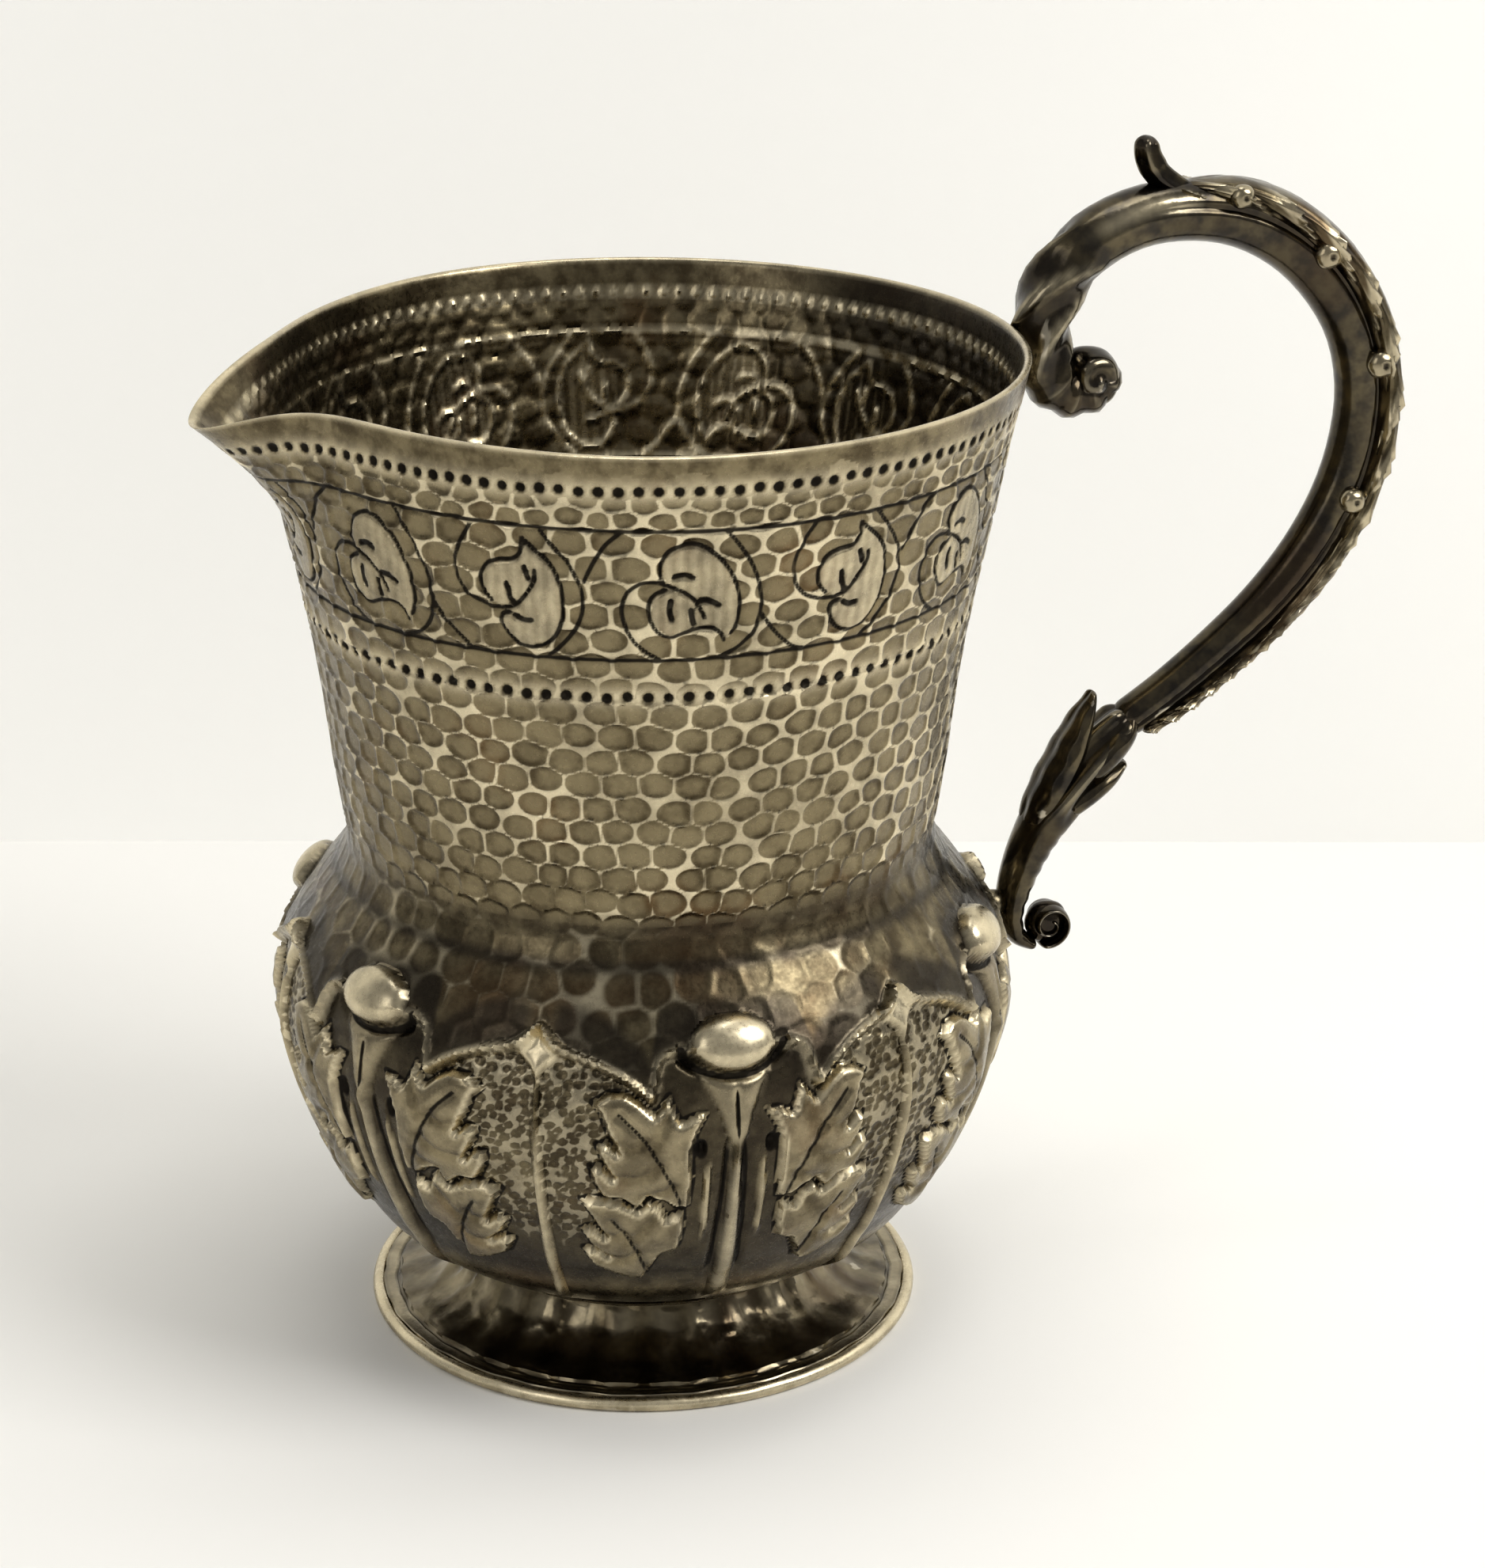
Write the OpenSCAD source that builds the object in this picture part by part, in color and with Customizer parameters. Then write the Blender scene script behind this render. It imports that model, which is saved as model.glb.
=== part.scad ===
// Silver cream jug: a raised body on a ring foot, with a cast scroll handle.
// The jug's axis is Z and it stands on z = 0. The handle is at +X, the spout at -X.
// All sizes are in millimetres.

/* [Body] */
// Height of the rim above the table
rim_h = 85; // [80:0.5:90]
// Outer radius of the round part of the rim
rim_r = 32; // [31:0.1:33]
// Largest outer radius of the bowl
bowl_r = 32; // [31:0.1:33]
// Outer radius of the waist between neck and bowl
waist_r = 24.9; // [24:0.1:26]
// Thickness of the raised sheet
wall = 0.65; // [0.6:0.05:0.9]

/* [Spout] */
// How far the lip is pulled out past the round rim
lip_out = 6.8; // [5:0.1:8]
// How far the sides of the lip are pinched in
lip_pinch = 1.8; // [1:0.1:2.5]
// How far the tip of the lip dips below the rim
lip_dip = 3.4; // [2:0.1:4]
// Height at which the lip starts to leave the round neck
lip_start = 72.8; // [71:0.2:75]

/* [Foot] */
// Outer radius of the foot over its edge wire
foot_r = 23.9; // [23:0.1:25]
// Thickness of the foot's sheet
foot_wall = 0.8; // [0.6:0.05:1]
// Height of the edge wire
wire_h = 1.2; // [1:0.1:1.4]

/* [Handle] */
// Half thickness of the plain bar at the top of the arch
bar_a = 2.6; // [2.3:0.1:2.9]
// Half thickness of the plain bar where it enters the leaf
bar_low = 1.75; // [1.5:0.05:2]
// Radius of the largest berry on the vine
berry_r = 1.55; // [1.3:0.05:1.8]
// Radius of the lower scroll
scroll_r = 2.4; // [2.2:0.1:2.6]

/* [Hidden] */
silver = "#8f8a80";
dark_silver = "#6f6a60";
bright_silver = "#b9b4a6";

// Where the foot's top face meets the flat underside of the bowl
base_z = 6.2;
base_r = 15.6;
// Height at which the exact lower shell ends and the faceted lip band begins
band_z = 70;
band_lap = 0.8;
around = 72;
band_rings = 7;

// One coordinate of a smooth curve that passes through b and c
function through(a, b, c, d, t) =
    0.5 * (2 * b + (c - a) * t + (2 * a - 5 * b + 4 * c - d) * t * t
    + (3 * b - a - 3 * c + d) * t * t * t);

// A smooth curve through a list of points, with n steps between neighbours
function smooth(pts, n) = concat(
    [for (i = [0 : len(pts) - 2], j = [0 : n - 1])
        through(pts[max(i - 1, 0)], pts[i], pts[i + 1], pts[min(i + 2, len(pts) - 1)], j / n)],
    [pts[len(pts) - 1]]);

// Height and outer radius of the raised body, from the base up to the rim
outline = [
    [base_z, base_r], [7.4, 18], [9.6, 22], [13.6, 26.4], [18, 28.9], [23.4, bowl_r - 1.1],
    [29, bowl_r], [34, bowl_r - 0.9], [37.4, 29.1], [40.8, 26.4], [42.8, waist_r + 0.3],
    [44.4, waist_r], [46.2, waist_r + 0.3], [51, 25.9], [57.8, 26.7], [64.6, 27.8],
    [71.4, 29.2], [78.2, 30.5], [82.4, 31.4], [rim_h, rim_r]
];
outer_line = smooth(outline, 3);
inner_base_z = base_z + wall;

// Outer radius of the round body at a height
function body_r(z) = lookup(z, outer_line);

// Outline of the round shell below the lip band, as radius and height
function shell_points() =
    let (low = [for (p = outer_line) if (p[0] < band_z) p])
    concat(
        [[0, base_z]],
        [for (p = low) [p[1], p[0]]],
        [[body_r(band_z), band_z], [body_r(band_z) - wall, band_z]],
        [for (i = [len(low) - 1 : -1 : 0])
            if (low[i][0] > inner_base_z + 0.8) [low[i][1] - wall, low[i][0]]],
        [[base_r, inner_base_z], [0, inner_base_z]]);

// How far the lip moves a point out at an angle from the spout
function lip_push(a) =
    lip_out * exp(-pow(a / 15.1, 2)) - lip_pinch * exp(-pow(a / 65, 5));

// How far the lip moves a point down at an angle from the spout
function lip_drop(a) = lip_dip * exp(-pow(a / 12.5, 2));

// A point of the lip band: angle round the axis, height before shaping, and inward offset
function lip_point(az, u, inset) =
    let (
        a = abs(az - 180),
        t = max(0, (u - lip_start) / (rim_h - lip_start)),
        r = body_r(min(u, rim_h)) + lip_push(a) * pow(t, 1.6) - inset
    )
    [r * cos(az), r * sin(az), u - lip_drop(a) * t];

// The band of the neck that carries the pulled lip. It starts inside the shell's wall.
module lip_band() {
    inset = 0.06;
    heights = concat(
        [band_z - band_lap],
        [for (i = [0 : band_rings]) lip_start + (rim_h - lip_start) * i / band_rings]);
    n = len(heights);
    outside = [for (i = [0 : n - 1], k = [0 : around - 1])
        lip_point(360 * k / around, heights[i], i == 0 ? inset : 0)];
    inside = [for (i = [0 : n - 1], k = [0 : around - 1])
        lip_point(360 * k / around, heights[i], i == 0 ? wall - inset : wall)];
    m = n * around;
    skin = [for (i = [0 : n - 2], k = [0 : around - 1])
        let (a = i * around + k, b = i * around + (k + 1) % around)
        each [[a, b + around, b], [a, a + around, b + around],
              [m + a, m + b, m + b + around], [m + a, m + b + around, m + a + around]]];
    rims = [for (k = [0 : around - 1])
        let (a = k, b = (k + 1) % around, top = (n - 1) * around)
        each [[a, b, m + b], [a, m + b, m + a],
              [top + a, m + top + b, top + b], [top + a, m + top + a, m + top + b]]];
    polyhedron(concat(outside, inside), concat(skin, rims));
}

// A bar swept along stations of [x, z, half thickness, half width] in the plane of the handle
module bar(stations, steps, sides) {
    line = smooth(stations, steps);
    n = len(line);
    rings = [for (i = [0 : n - 1])
        let (
            p = line[i],
            before = line[max(i - 1, 0)],
            after = line[min(i + 1, n - 1)],
            way = [after[0] - before[0], after[1] - before[1]] / norm(
                [after[0] - before[0], after[1] - before[1]])
        )
        each [for (k = [0 : sides - 1])
            let (c = cos(360 * k / sides), s = sin(360 * k / sides))
            [p[0] - way[1] * p[2] * c, p[3] * s, p[1] + way[0] * p[2] * c]]];
    skin = [for (i = [0 : n - 2], k = [0 : sides - 1])
        let (a = i * sides + k, b = i * sides + (k + 1) % sides)
        each [[a, b, b + sides], [a, b + sides, a + sides]]];
    start = [for (k = [sides - 1 : -1 : 0]) k];
    finish = [for (k = [0 : sides - 1]) (n - 1) * sides + k];
    polyhedron(rings, concat(skin, [start, finish]));
}

// The arch: from the curl under the rim, over the top and down into the leaf
arch = [
    [38.4, 79.7, 1.5, 1.9], [36.9, 79.3, 1.9, 2.3], [35.3, 80.9, 2.3, 2.5],
    [35, 83.6, 2.6, 2.6], [36.1, 87.4, bar_a, bar_a], [39.1, 90.9, bar_a, bar_a],
    [43.4, 92.9, bar_a, bar_a], [48.2, 93.3, bar_a, bar_a], [53, 92.4, bar_a, bar_a],
    [57.6, 90, bar_a, bar_a], [61.3, 86.4, 2.5, 2.5], [64, 82, 2.4, 2.4],
    [65.2, 77, 2.35, 2.35], [64.9, 72, 2.3, 2.3], [63.4, 67, 2.25, 2.2],
    [60.6, 62.1, 2.15, 2.1], [56.8, 57.7, 2, 2], [52.4, 53.9, 1.85, 1.85],
    [47.9, 50.5, bar_low, bar_low], [43.4, 47.6, bar_low, bar_low]
];
// The applied vine, which lies along the outer back of the arch
vine = [
    [48.8, 95.8, 0.5, 1.2], [53.9, 94.6, 0.9, 1.6], [58.9, 91.9, 1, 1.7],
    [63, 87.8, 1, 1.7], [65.9, 82.9, 1, 1.7], [67.3, 77.3, 1, 1.7],
    [67, 71.5, 1, 1.6], [65.3, 65.9, 0.95, 1.5], [62.3, 60.6, 0.9, 1.4],
    [58.2, 56.1, 0.85, 1.3], [53.6, 52.2, 0.8, 1.2], [48.9, 48.9, 0.7, 1.1]
];
// Where the berries sit on the vine, and how large each is
berries = [[52.6, 94.6, 0.95], [61.3, 89, 1], [67, 78.2, 1], [65, 66.4, 0.85]];
// The thumb piece on top of the arch
thumb = [[47.6, 95.4, 0.5, 0.8], [45.8, 96.3, 1, 1.1], [44.5, 97.6, 1.15, 1.15], [44.1, 98.8, 1, 1]];
// The leaf calyx that holds the arch's end, and the leg that runs down to the scroll
leg = [
    [44.4, 48.3, 2.2, 2.5], [42.1, 46.4, 2.7, 2.9], [39.4, 43.4, 2.8, 3],
    [37.2, 40.4, 2.5, 2.7], [35.5, 37.2, 2, 2.3], [34.5, 34, 1.6, 2],
    [34, 31.2, 1.2, 1.8], [34.6, 29, 0.9, 1.7], [36.3, 27.9, 0.6, 1.7]
];
scroll = [37.4, 29.8];
// The upright tip of the leaf behind the arch, and the lobe that stands out below it
leaf_tip = [[38, 43.6, 1.6, 2.4], [39.4, 46.8, 1.3, 2.2], [40.4, 49.2, 0.9, 1.5], [40.9, 50.7, 0.4, 0.7]];
leaf_lobe = [[39.6, 42.6, 1.2, 2.2], [41.8, 43.6, 0.9, 1.7], [43.8, 44, 0.4, 0.8]];

module body() {
    color(silver) union() {
        rotate_extrude($fn = 144) polygon(shell_points());
        lip_band();
    }
}

// A trumpet foot: a flat ring for the bowl, a concave flare, a fine step and a flange
module foot() {
    rise = base_z;
    outside = smooth(
        [[base_r, rise], [base_r + 0.2, rise - 0.8], [16.9, 3.6], [18.9, 2.2], [21.3, 1.5]], 4);
    color(dark_silver) rotate_extrude($fn = 144) polygon(concat(
        [for (p = outside) p],
        [[21.7, 1.2], [foot_r - 0.9, 1.2], [foot_r - 0.9, 0], [foot_r - 2.1, 0]],
        [for (i = [len(outside) - 2 : -1 : 1]) [outside[i][0] - foot_wall, outside[i][1] - 0.35]],
        [[base_r - 1.1, rise]]));
}

// The wire round the edge of the foot, flat below where it has worn
module foot_wire() {
    bulge = foot_r - 0.55;
    color(bright_silver) rotate_extrude($fn = 144) difference() {
        translate([bulge, wire_h / 2 - 0.05]) circle(r = wire_h / 2, $fn = 24);
        translate([0, -wire_h]) square([foot_r + wire_h, wire_h]);
        translate([0, -wire_h]) square([foot_r - 0.9, 3 * wire_h]);
    }
}

// The solder seam that fills the corner between bowl and foot
module foot_solder() {
    color(bright_silver) rotate_extrude($fn = 96) polygon([
        [base_r + 0.05, base_z - 0.55], [base_r + 0.45, base_z - 0.1],
        [base_r + 0.9, base_z + 0.35], [base_r + 0.05, base_z - 0.01]]);
}

module handle_arch() {
    color(dark_silver) union() {
        bar(arch, 3, 16);
        translate([39.9, 0, 79.6]) sphere(r = 2.75, $fn = 32);
    }
}

module handle_vine() {
    color(silver) union() {
        bar(vine, 3, 12);
        for (b = berries) translate([b[0], 0, b[1]]) sphere(r = berry_r * b[2], $fn = 24);
    }
}

module thumb_piece() {
    color(silver) union() {
        bar(thumb, 3, 12);
        translate([44.1, 0, 98.8]) sphere(r = 1.1, $fn = 24);
    }
}

module leaf_scroll() {
    color(dark_silver) union() {
        bar(leg, 3, 16);
        bar(leaf_tip, 2, 12);
        bar(leaf_lobe, 2, 10);
        translate([scroll[0], 1.6, scroll[1]]) rotate([90, 0, 0])
            cylinder(r = scroll_r, h = 3.2, $fn = 48);
    }
}

module upper_solder() {
    color(bright_silver) translate([rim_r + 0.4, 0, 83]) sphere(r = 0.9, $fn = 24);
}

module lower_solder() {
    color(bright_silver) translate([bowl_r + 0.3, 0, 32.2]) sphere(r = 1.2, $fn = 24);
}

body();
foot();
foot_wire();
foot_solder();
handle_arch();
handle_vine();
thumb_piece();
leaf_scroll();
upper_solder();
lower_solder();
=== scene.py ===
import math

import bpy
import numpy as np
from bpy.props import FloatProperty, FloatVectorProperty, IntProperty, PointerProperty
from bpy.types import Operator, Panel, PropertyGroup
from mathutils import Matrix, Vector


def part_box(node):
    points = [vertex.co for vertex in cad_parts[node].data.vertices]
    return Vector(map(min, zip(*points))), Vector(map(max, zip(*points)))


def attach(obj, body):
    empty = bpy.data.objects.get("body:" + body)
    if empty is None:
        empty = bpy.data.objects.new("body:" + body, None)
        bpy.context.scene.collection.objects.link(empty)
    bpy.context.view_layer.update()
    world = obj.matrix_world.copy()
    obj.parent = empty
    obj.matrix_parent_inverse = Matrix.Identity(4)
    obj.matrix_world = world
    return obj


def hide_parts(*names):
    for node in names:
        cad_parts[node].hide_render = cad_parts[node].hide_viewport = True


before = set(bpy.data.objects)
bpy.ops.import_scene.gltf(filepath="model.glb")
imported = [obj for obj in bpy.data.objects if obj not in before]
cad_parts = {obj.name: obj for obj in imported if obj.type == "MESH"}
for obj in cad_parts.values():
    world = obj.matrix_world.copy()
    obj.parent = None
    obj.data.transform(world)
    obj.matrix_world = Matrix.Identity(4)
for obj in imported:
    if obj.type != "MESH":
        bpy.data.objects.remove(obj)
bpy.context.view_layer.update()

bl_info = {
    "name": "Chased Silver Cream Jug",
    "version": (1, 0, 0),
    "blender": (4, 5, 0),
    "location": "View3D > Sidebar > Cream Jug",
    "description": "Builds a raised and chased silver cream jug with a cast scroll handle",
    "category": "Add Mesh",
}

# Lengths inside the builders are in millimetres and become metres when a mesh is filled.
MM = 0.001
BODY_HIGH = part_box("body")[1]
FOOT_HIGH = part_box("foot")[1]
WIRE_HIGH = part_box("foot_wire")[1]
RIM_H = BODY_HIGH[2] / MM
BOWL_R = BODY_HIGH[1] / MM
BASE_Z = FOOT_HIGH[2] / MM
BASE_R = 15.6
WAIST_R = 24.9
BODY_NODE = "body"
# A distance beyond the reach of any mark
FAR = 9.0

# Height and outer radius of the raised body, from its base up to the rim
OUTLINE = [
    (BASE_Z, BASE_R), (7.4, 18), (9.6, 22), (13.6, 26.2), (18, 28.6), (23.4, BOWL_R - 1.4),
    (29, BOWL_R - 0.35), (34, BOWL_R - 1.2), (37.4, 28.9), (40.8, 26.4), (42.8, WAIST_R + 0.3),
    (44.4, WAIST_R), (46.2, WAIST_R + 0.3), (51, 25.9), (57.8, 26.7), (64.6, 27.8),
    (71.4, 29.2), (78.2, 30.5), (82.4, 31.4), (RIM_H, BOWL_R),
]
# Heights where one raised piece of the body meets the next
SPLIT_LEAVES = 22.3
SPLIT_WAIST = 44.4
SPLIT_FRIEZE = 67.9
FRIEZE_TOP = 78.8
UPPER_PUNCH_Z = 82.1
LOWER_PUNCH_Z = 64.7

# Places round the jug, in degrees: the handle is at 0 and the lip at 180
BUD_TURN = -92.3
BUD_STEP = 60.0
SCROLL_TURN = -97.8
SCROLL_STEP = 360.0 / 7
SCROLL_SECOND = 25.4

# The pulled lip: where it starts, how far it goes out, pinches in and drops
LIP_START = 72.8
LIP_OUT = 6.8
LIP_PINCH = 1.8
LIP_DROP = 3.4

# Radius at the middle of the frieze, and millimetres to a degree round the bowl
FRIEZE_R = 29.2
DEGREE = 0.53

# The camera's distance from the axis and height in metres, its lens in millimetres, the turn in
# degrees and the small angles in radians
CAMERA_AWAY = 0.30936
CAMERA_HIGH = 0.16606
CAMERA_LENS = 89.76
CAMERA_TURN = 16.0
CAMERA_YAW = 0.02789
CAMERA_PITCH = 0.36733
CAMERA_ROLL = 0.00393
# The wall stands this far behind the axis, turned by so many degrees
WALL_AWAY = 0.104
WALL_TURN = 17.146


# ---------------------------------------------------------------- sizes and colours

def length(name, text, default):
    """A length property, in metres."""
    return FloatProperty(name=name, description=text, default=default, unit="LENGTH",
                         subtype="DISTANCE", precision=5)


def colour(name, text, default):
    """A linear colour property."""
    return FloatVectorProperty(name=name, description=text, default=default, size=3,
                               subtype="COLOR", min=0.0, max=1.0)


class JugShape(PropertyGroup):
    """Sizes of the sheet, the hammer marks and the chasing."""
    wall: length("Wall", "Thickness of the raised sheet", 0.00065)
    columns: IntProperty(name="Columns", description="Faces round the body", default=720)
    dent_depth: length("Dent depth", "Depth of a planishing mark", 0.00017)
    dent_row: length("Dent row", "Height of one row of planishing marks", 0.00208)
    dents_round: IntProperty(name="Dents round", description="Marks in one row", default=59)
    punch_radius: length("Punch radius", "Radius of a dot in the punched rows", 0.00041)
    punch_depth: length("Punch depth", "Depth of a dot in the punched rows", 0.00026)
    line_half: length("Line half width", "Half the width of an engraved line", 0.00012)
    line_depth: length("Line depth", "Depth of an engraved line", 0.00014)
    bud_height: length("Bud height", "How far a bud stands out of the bowl", 0.0016)
    leaf_height: length("Leaf height", "How far a leaf stands out of its ground", 0.00085)
    ground_depth: length("Ground depth", "How far the stippled ground is sunk", 0.00075)


class JugFinish(PropertyGroup):
    """Colours of the silver and of the stage."""
    # bright silver also paints the highlight along the handle's arch
    bright: colour("Bright silver", "Burnished and worn ridges", (0.70, 0.61, 0.42))
    worn: colour("Worn silver", "Flat faces with a thin patina", (0.20, 0.163, 0.094))
    patina: colour("Patina", "Oxide in the hammer marks", (0.072, 0.055, 0.030))
    oxide_and_shade: colour("Deep oxide", "Oxide in grooves and corners", (0.012, 0.010, 0.008))
    # the deep oxide colour also paints the shade and shadow lines carried by the marks
    warm: colour("Warm oxide", "Brown and golden stains", (0.17, 0.092, 0.035))
    cast: colour("Cast silver", "The handle's grey oxide", (0.048, 0.044, 0.038))
    wire: colour("Wire", "The foot's bright edge", (0.60, 0.53, 0.38))
    floor: colour("Floor", "The white table", (0.86, 0.85, 0.82))
    backdrop: colour("Backdrop", "The white wall", (0.95, 0.945, 0.92))


# ---------------------------------------------------------------- small mathematics

def smooth_curve(points, steps):
    """A curve through points, as rows, with steps between neighbours."""
    p = np.array(points, float)
    last = len(p) - 1
    rows = []
    for i in range(last):
        a, b, c, d = p[max(i - 1, 0)], p[i], p[i + 1], p[min(i + 2, last)]
        for j in range(steps):
            t = j / steps
            rows.append(0.5 * (2 * b + (c - a) * t + (2 * a - 5 * b + 4 * c - d) * t * t
                               + (3 * b - a - 3 * c + d) * t ** 3))
    rows.append(p[last])
    return np.array(rows)


def ramp(x, low, high):
    """0 below low, 1 above high, and smooth between."""
    t = np.clip((x - low) / (high - low), 0.0, 1.0)
    return t * t * (3 - 2 * t)


def wrap(angle, period):
    """An angle brought to within half a period of zero."""
    return (angle + period / 2) % period - period / 2


def wave(theta, count, shift=0.0):
    """A sine with so many crests round the jug, shifted by some degrees."""
    return np.sin(np.radians(theta * count + shift))


def chance(i, j, salt):
    """A fixed random number from 0 to 1 for a cell."""
    n = np.sin(i * 127.1 + j * 311.7 + salt * 74.7) * 43758.5453
    return n - np.floor(n)


def stroke(x, y, points):
    """Distance from each place to a broken line."""
    best = np.full(np.shape(x), 1e9)
    for (ax, ay), (bx, by) in zip(points[:-1], points[1:]):
        dx, dy = bx - ax, by - ay
        run = dx * dx + dy * dy + 1e-12
        t = np.clip(((x - ax) * dx + (y - ay) * dy) / run, 0, 1)
        best = np.minimum(best, (x - ax - t * dx) ** 2 + (y - ay - t * dy) ** 2)
    return np.sqrt(best)


def inside(x, y, points):
    """True where a place lies inside a closed outline."""
    hit = np.zeros(np.shape(x), bool)
    for (ax, ay), (bx, by) in zip(points, list(points[1:]) + [points[0]]):
        if ay == by:
            continue
        crosses = (ay > y) != (by > y)
        hit ^= crosses & (x < (bx - ax) * (y - ay) / (by - ay) + ax)
    return hit


PROFILE = smooth_curve(OUTLINE, 8)


def radius_at(z):
    """Outer radius of the plain round body at a height."""
    return np.interp(z, PROFILE[:, 0], PROFILE[:, 1])


def slope_at(z):
    """How fast the radius grows with height."""
    return (radius_at(z + 0.15) - radius_at(z - 0.15)) / 0.3


# ---------------------------------------------------------------- the pattern on the body

def hammer(theta, z, radius, across, row, jitter, salt):
    """Distance into the nearest hammer mark, its random tone and its place in the mark."""
    step = 360.0 / across
    j0 = np.floor(z / row)
    first = np.full(z.shape, FAR)
    second = np.full(z.shape, FAR)
    tone = np.zeros(z.shape)
    lean = np.zeros(z.shape)
    wide = math.radians(step) * radius * 0.5
    for dj in (-1, 0, 1):
        j = j0 + dj
        shift = 0.5 * np.mod(j, 2)
        i0 = np.floor(theta / step - shift)
        for di in (-1, 0, 1):
            i = i0 + di
            cell = np.mod(i, across)
            jx = (chance(cell, j, salt) - 0.5) * jitter
            jz = (chance(cell, j, salt + 5) - 0.5) * jitter * 0.8
            dx = (theta - (i + 0.5 + shift + jx) * step) / (step * 0.5)
            dz = (z - (j + 0.5 + jz) * row) / (row * 0.5)
            size = 0.92 + 0.16 * chance(cell, j, salt + 9)
            d = np.sqrt(dx * dx + dz * dz) / size
            nearer = d < first
            second = np.where(nearer, first, np.minimum(second, d))
            tone = np.where(nearer, chance(cell, j, salt + 2), tone)
            tilt = (dx * (chance(cell, j, salt + 3) - 0.5)
                    + dz * (chance(cell, j, salt + 4) - 0.5))
            lean = np.where(nearer, tilt, lean)
            first = np.where(nearer, d, first)
    return np.minimum((second - first) * 0.5, (1.16 - first) * 0.9) * wide, tone, lean


# Engraved strokes of the frieze: degrees from the scroll's centre, and height
FIRST_SCROLL = [
    [(4.3, 78.7), (6.3, 77.4), (8.5, 75.6), (10.0, 73.4), (10.2, 71.5), (9.1, 69.8), (6.8, 68.6),
     (3.8, 68.0)],
    [(-5.2, 68.0), (-7.7, 68.8), (-9.8, 70.2), (-10.9, 72.0), (-10.2, 73.6), (-8.5, 74.4),
     (-6.7, 74.6), (-4.2, 74.3), (-1.7, 73.7), (0.1, 72.9), (1.5, 71.5)],
    [(-4.6, 74.3), (-5.3, 75.6), (-4.4, 76.9), (-2.4, 77.6), (0.0, 77.7), (2.8, 76.8), (5.0, 75.4),
     (6.4, 73.8), (6.8, 72.4), (6.6, 71.0), (5.8, 70.0)],
    [(4.7, 69.4), (4.1, 70.1), (2.6, 70.6), (0.3, 70.6), (-1.9, 70.2), (-3.9, 69.9), (-5.7, 70.5),
     (-6.8, 71.7), (-6.8, 72.9), (-5.8, 73.6), (-4.4, 73.9)],
    [(10.3, 71.5), (11.8, 70.4), (13.8, 69.2), (16.3, 68.2), (17.8, 68.0)],
]
FIRST_NICKS = [
    [(-3.2, 75.0), (-1.7, 75.2), (-0.4, 74.9)], [(-3.6, 73.0), (-3.8, 72.2), (-3.4, 71.4)],
    [(-0.6, 72.2), (-0.4, 71.5), (-0.1, 71.0)], [(0.9, 73.0), (2.3, 72.9), (3.6, 72.5)],
]
SECOND_SCROLL = [
    [(-7.4, 78.5), (-9.2, 77.0), (-10.3, 75.4), (-10.0, 73.8), (-8.4, 72.7), (-6.4, 72.2),
     (-3.9, 71.9), (-1.2, 72.2), (0.6, 73.1), (2.2, 74.4), (2.4, 75.3)],
    [(3.4, 78.6), (5.6, 77.2), (7.6, 75.9), (9.1, 74.1), (9.4, 72.5), (8.4, 70.8), (6.1, 69.2),
     (3.6, 68.1)],
    [(0.6, 77.9), (2.1, 77.2), (4.3, 76.2), (5.8, 74.8), (6.4, 73.2), (6.2, 71.4), (5.0, 69.9),
     (2.9, 69.0), (0.6, 68.8), (-1.6, 69.2), (-3.2, 70.3), (-3.3, 71.3), (-1.9, 71.6)],
    [(0.6, 77.9), (0.4, 76.8), (-0.9, 76.1), (-3.4, 75.9), (-5.2, 75.4), (-6.2, 74.3),
     (-5.8, 73.2), (-4.6, 72.5)],
    [(9.7, 74.6), (11.2, 76.2), (12.9, 77.6), (15.2, 78.7)],
]
SECOND_NICKS = [
    [(0.8, 75.5), (1.4, 74.6)], [(-2.1, 74.0), (-1.7, 73.0), (-1.3, 72.4)],
    [(-1.2, 71.4), (0.0, 71.1), (1.4, 71.1)],
]

# Outlines of the bowl's leaves: degrees from the bud, and height
UPPER_LEAF = [
    (7.2, 22.1), (6.7, 25.0), (6.9, 28.0), (6.0, 29.6), (4.5, 31.2), (6.4, 31.1), (8.6, 30.5),
    (9.5, 31.7), (10.2, 32.8), (11.2, 32.0), (12.4, 31.1), (14.5, 32.2), (17.0, 33.0), (19.3, 32.9),
    (21.8, 32.1), (20.4, 31.2), (19.6, 29.8), (18.0, 27.7), (19.6, 28.6), (21.2, 28.4),
    (20.4, 27.0), (18.8, 25.2), (20.4, 26.3), (22.2, 26.2), (21.8, 24.8), (20.4, 23.3),
    (17.5, 23.1), (15.1, 22.0), (13.4, 23.2), (11.2, 22.9), (9.2, 22.0),
]
LOWER_LEAF = [
    (8.0, 21.7), (10.6, 21.0), (11.8, 22.2), (13.4, 22.9), (15.0, 21.8), (17.5, 22.6),
    (20.5, 23.1), (24.0, 22.8), (22.4, 21.2), (20.4, 18.9), (22.4, 19.9), (24.2, 19.5),
    (22.8, 18.0), (20.0, 16.7), (22.6, 17.5), (24.4, 17.2), (22.8, 15.6), (19.5, 14.5),
    (16.0, 13.8), (13.8, 14.0), (12.6, 15.6), (11.2, 17.0), (8.4, 17.6), (7.7, 19.8),
]
UPPER_VEIN = [(17.6, 31.2), (14.2, 29.2), (11.4, 26.4), (9.2, 23.7), (8.4, 22.1)]
LOWER_VEIN = [(19.0, 21.0), (17.0, 19.3), (15.0, 17.0), (13.6, 14.4)]
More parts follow.
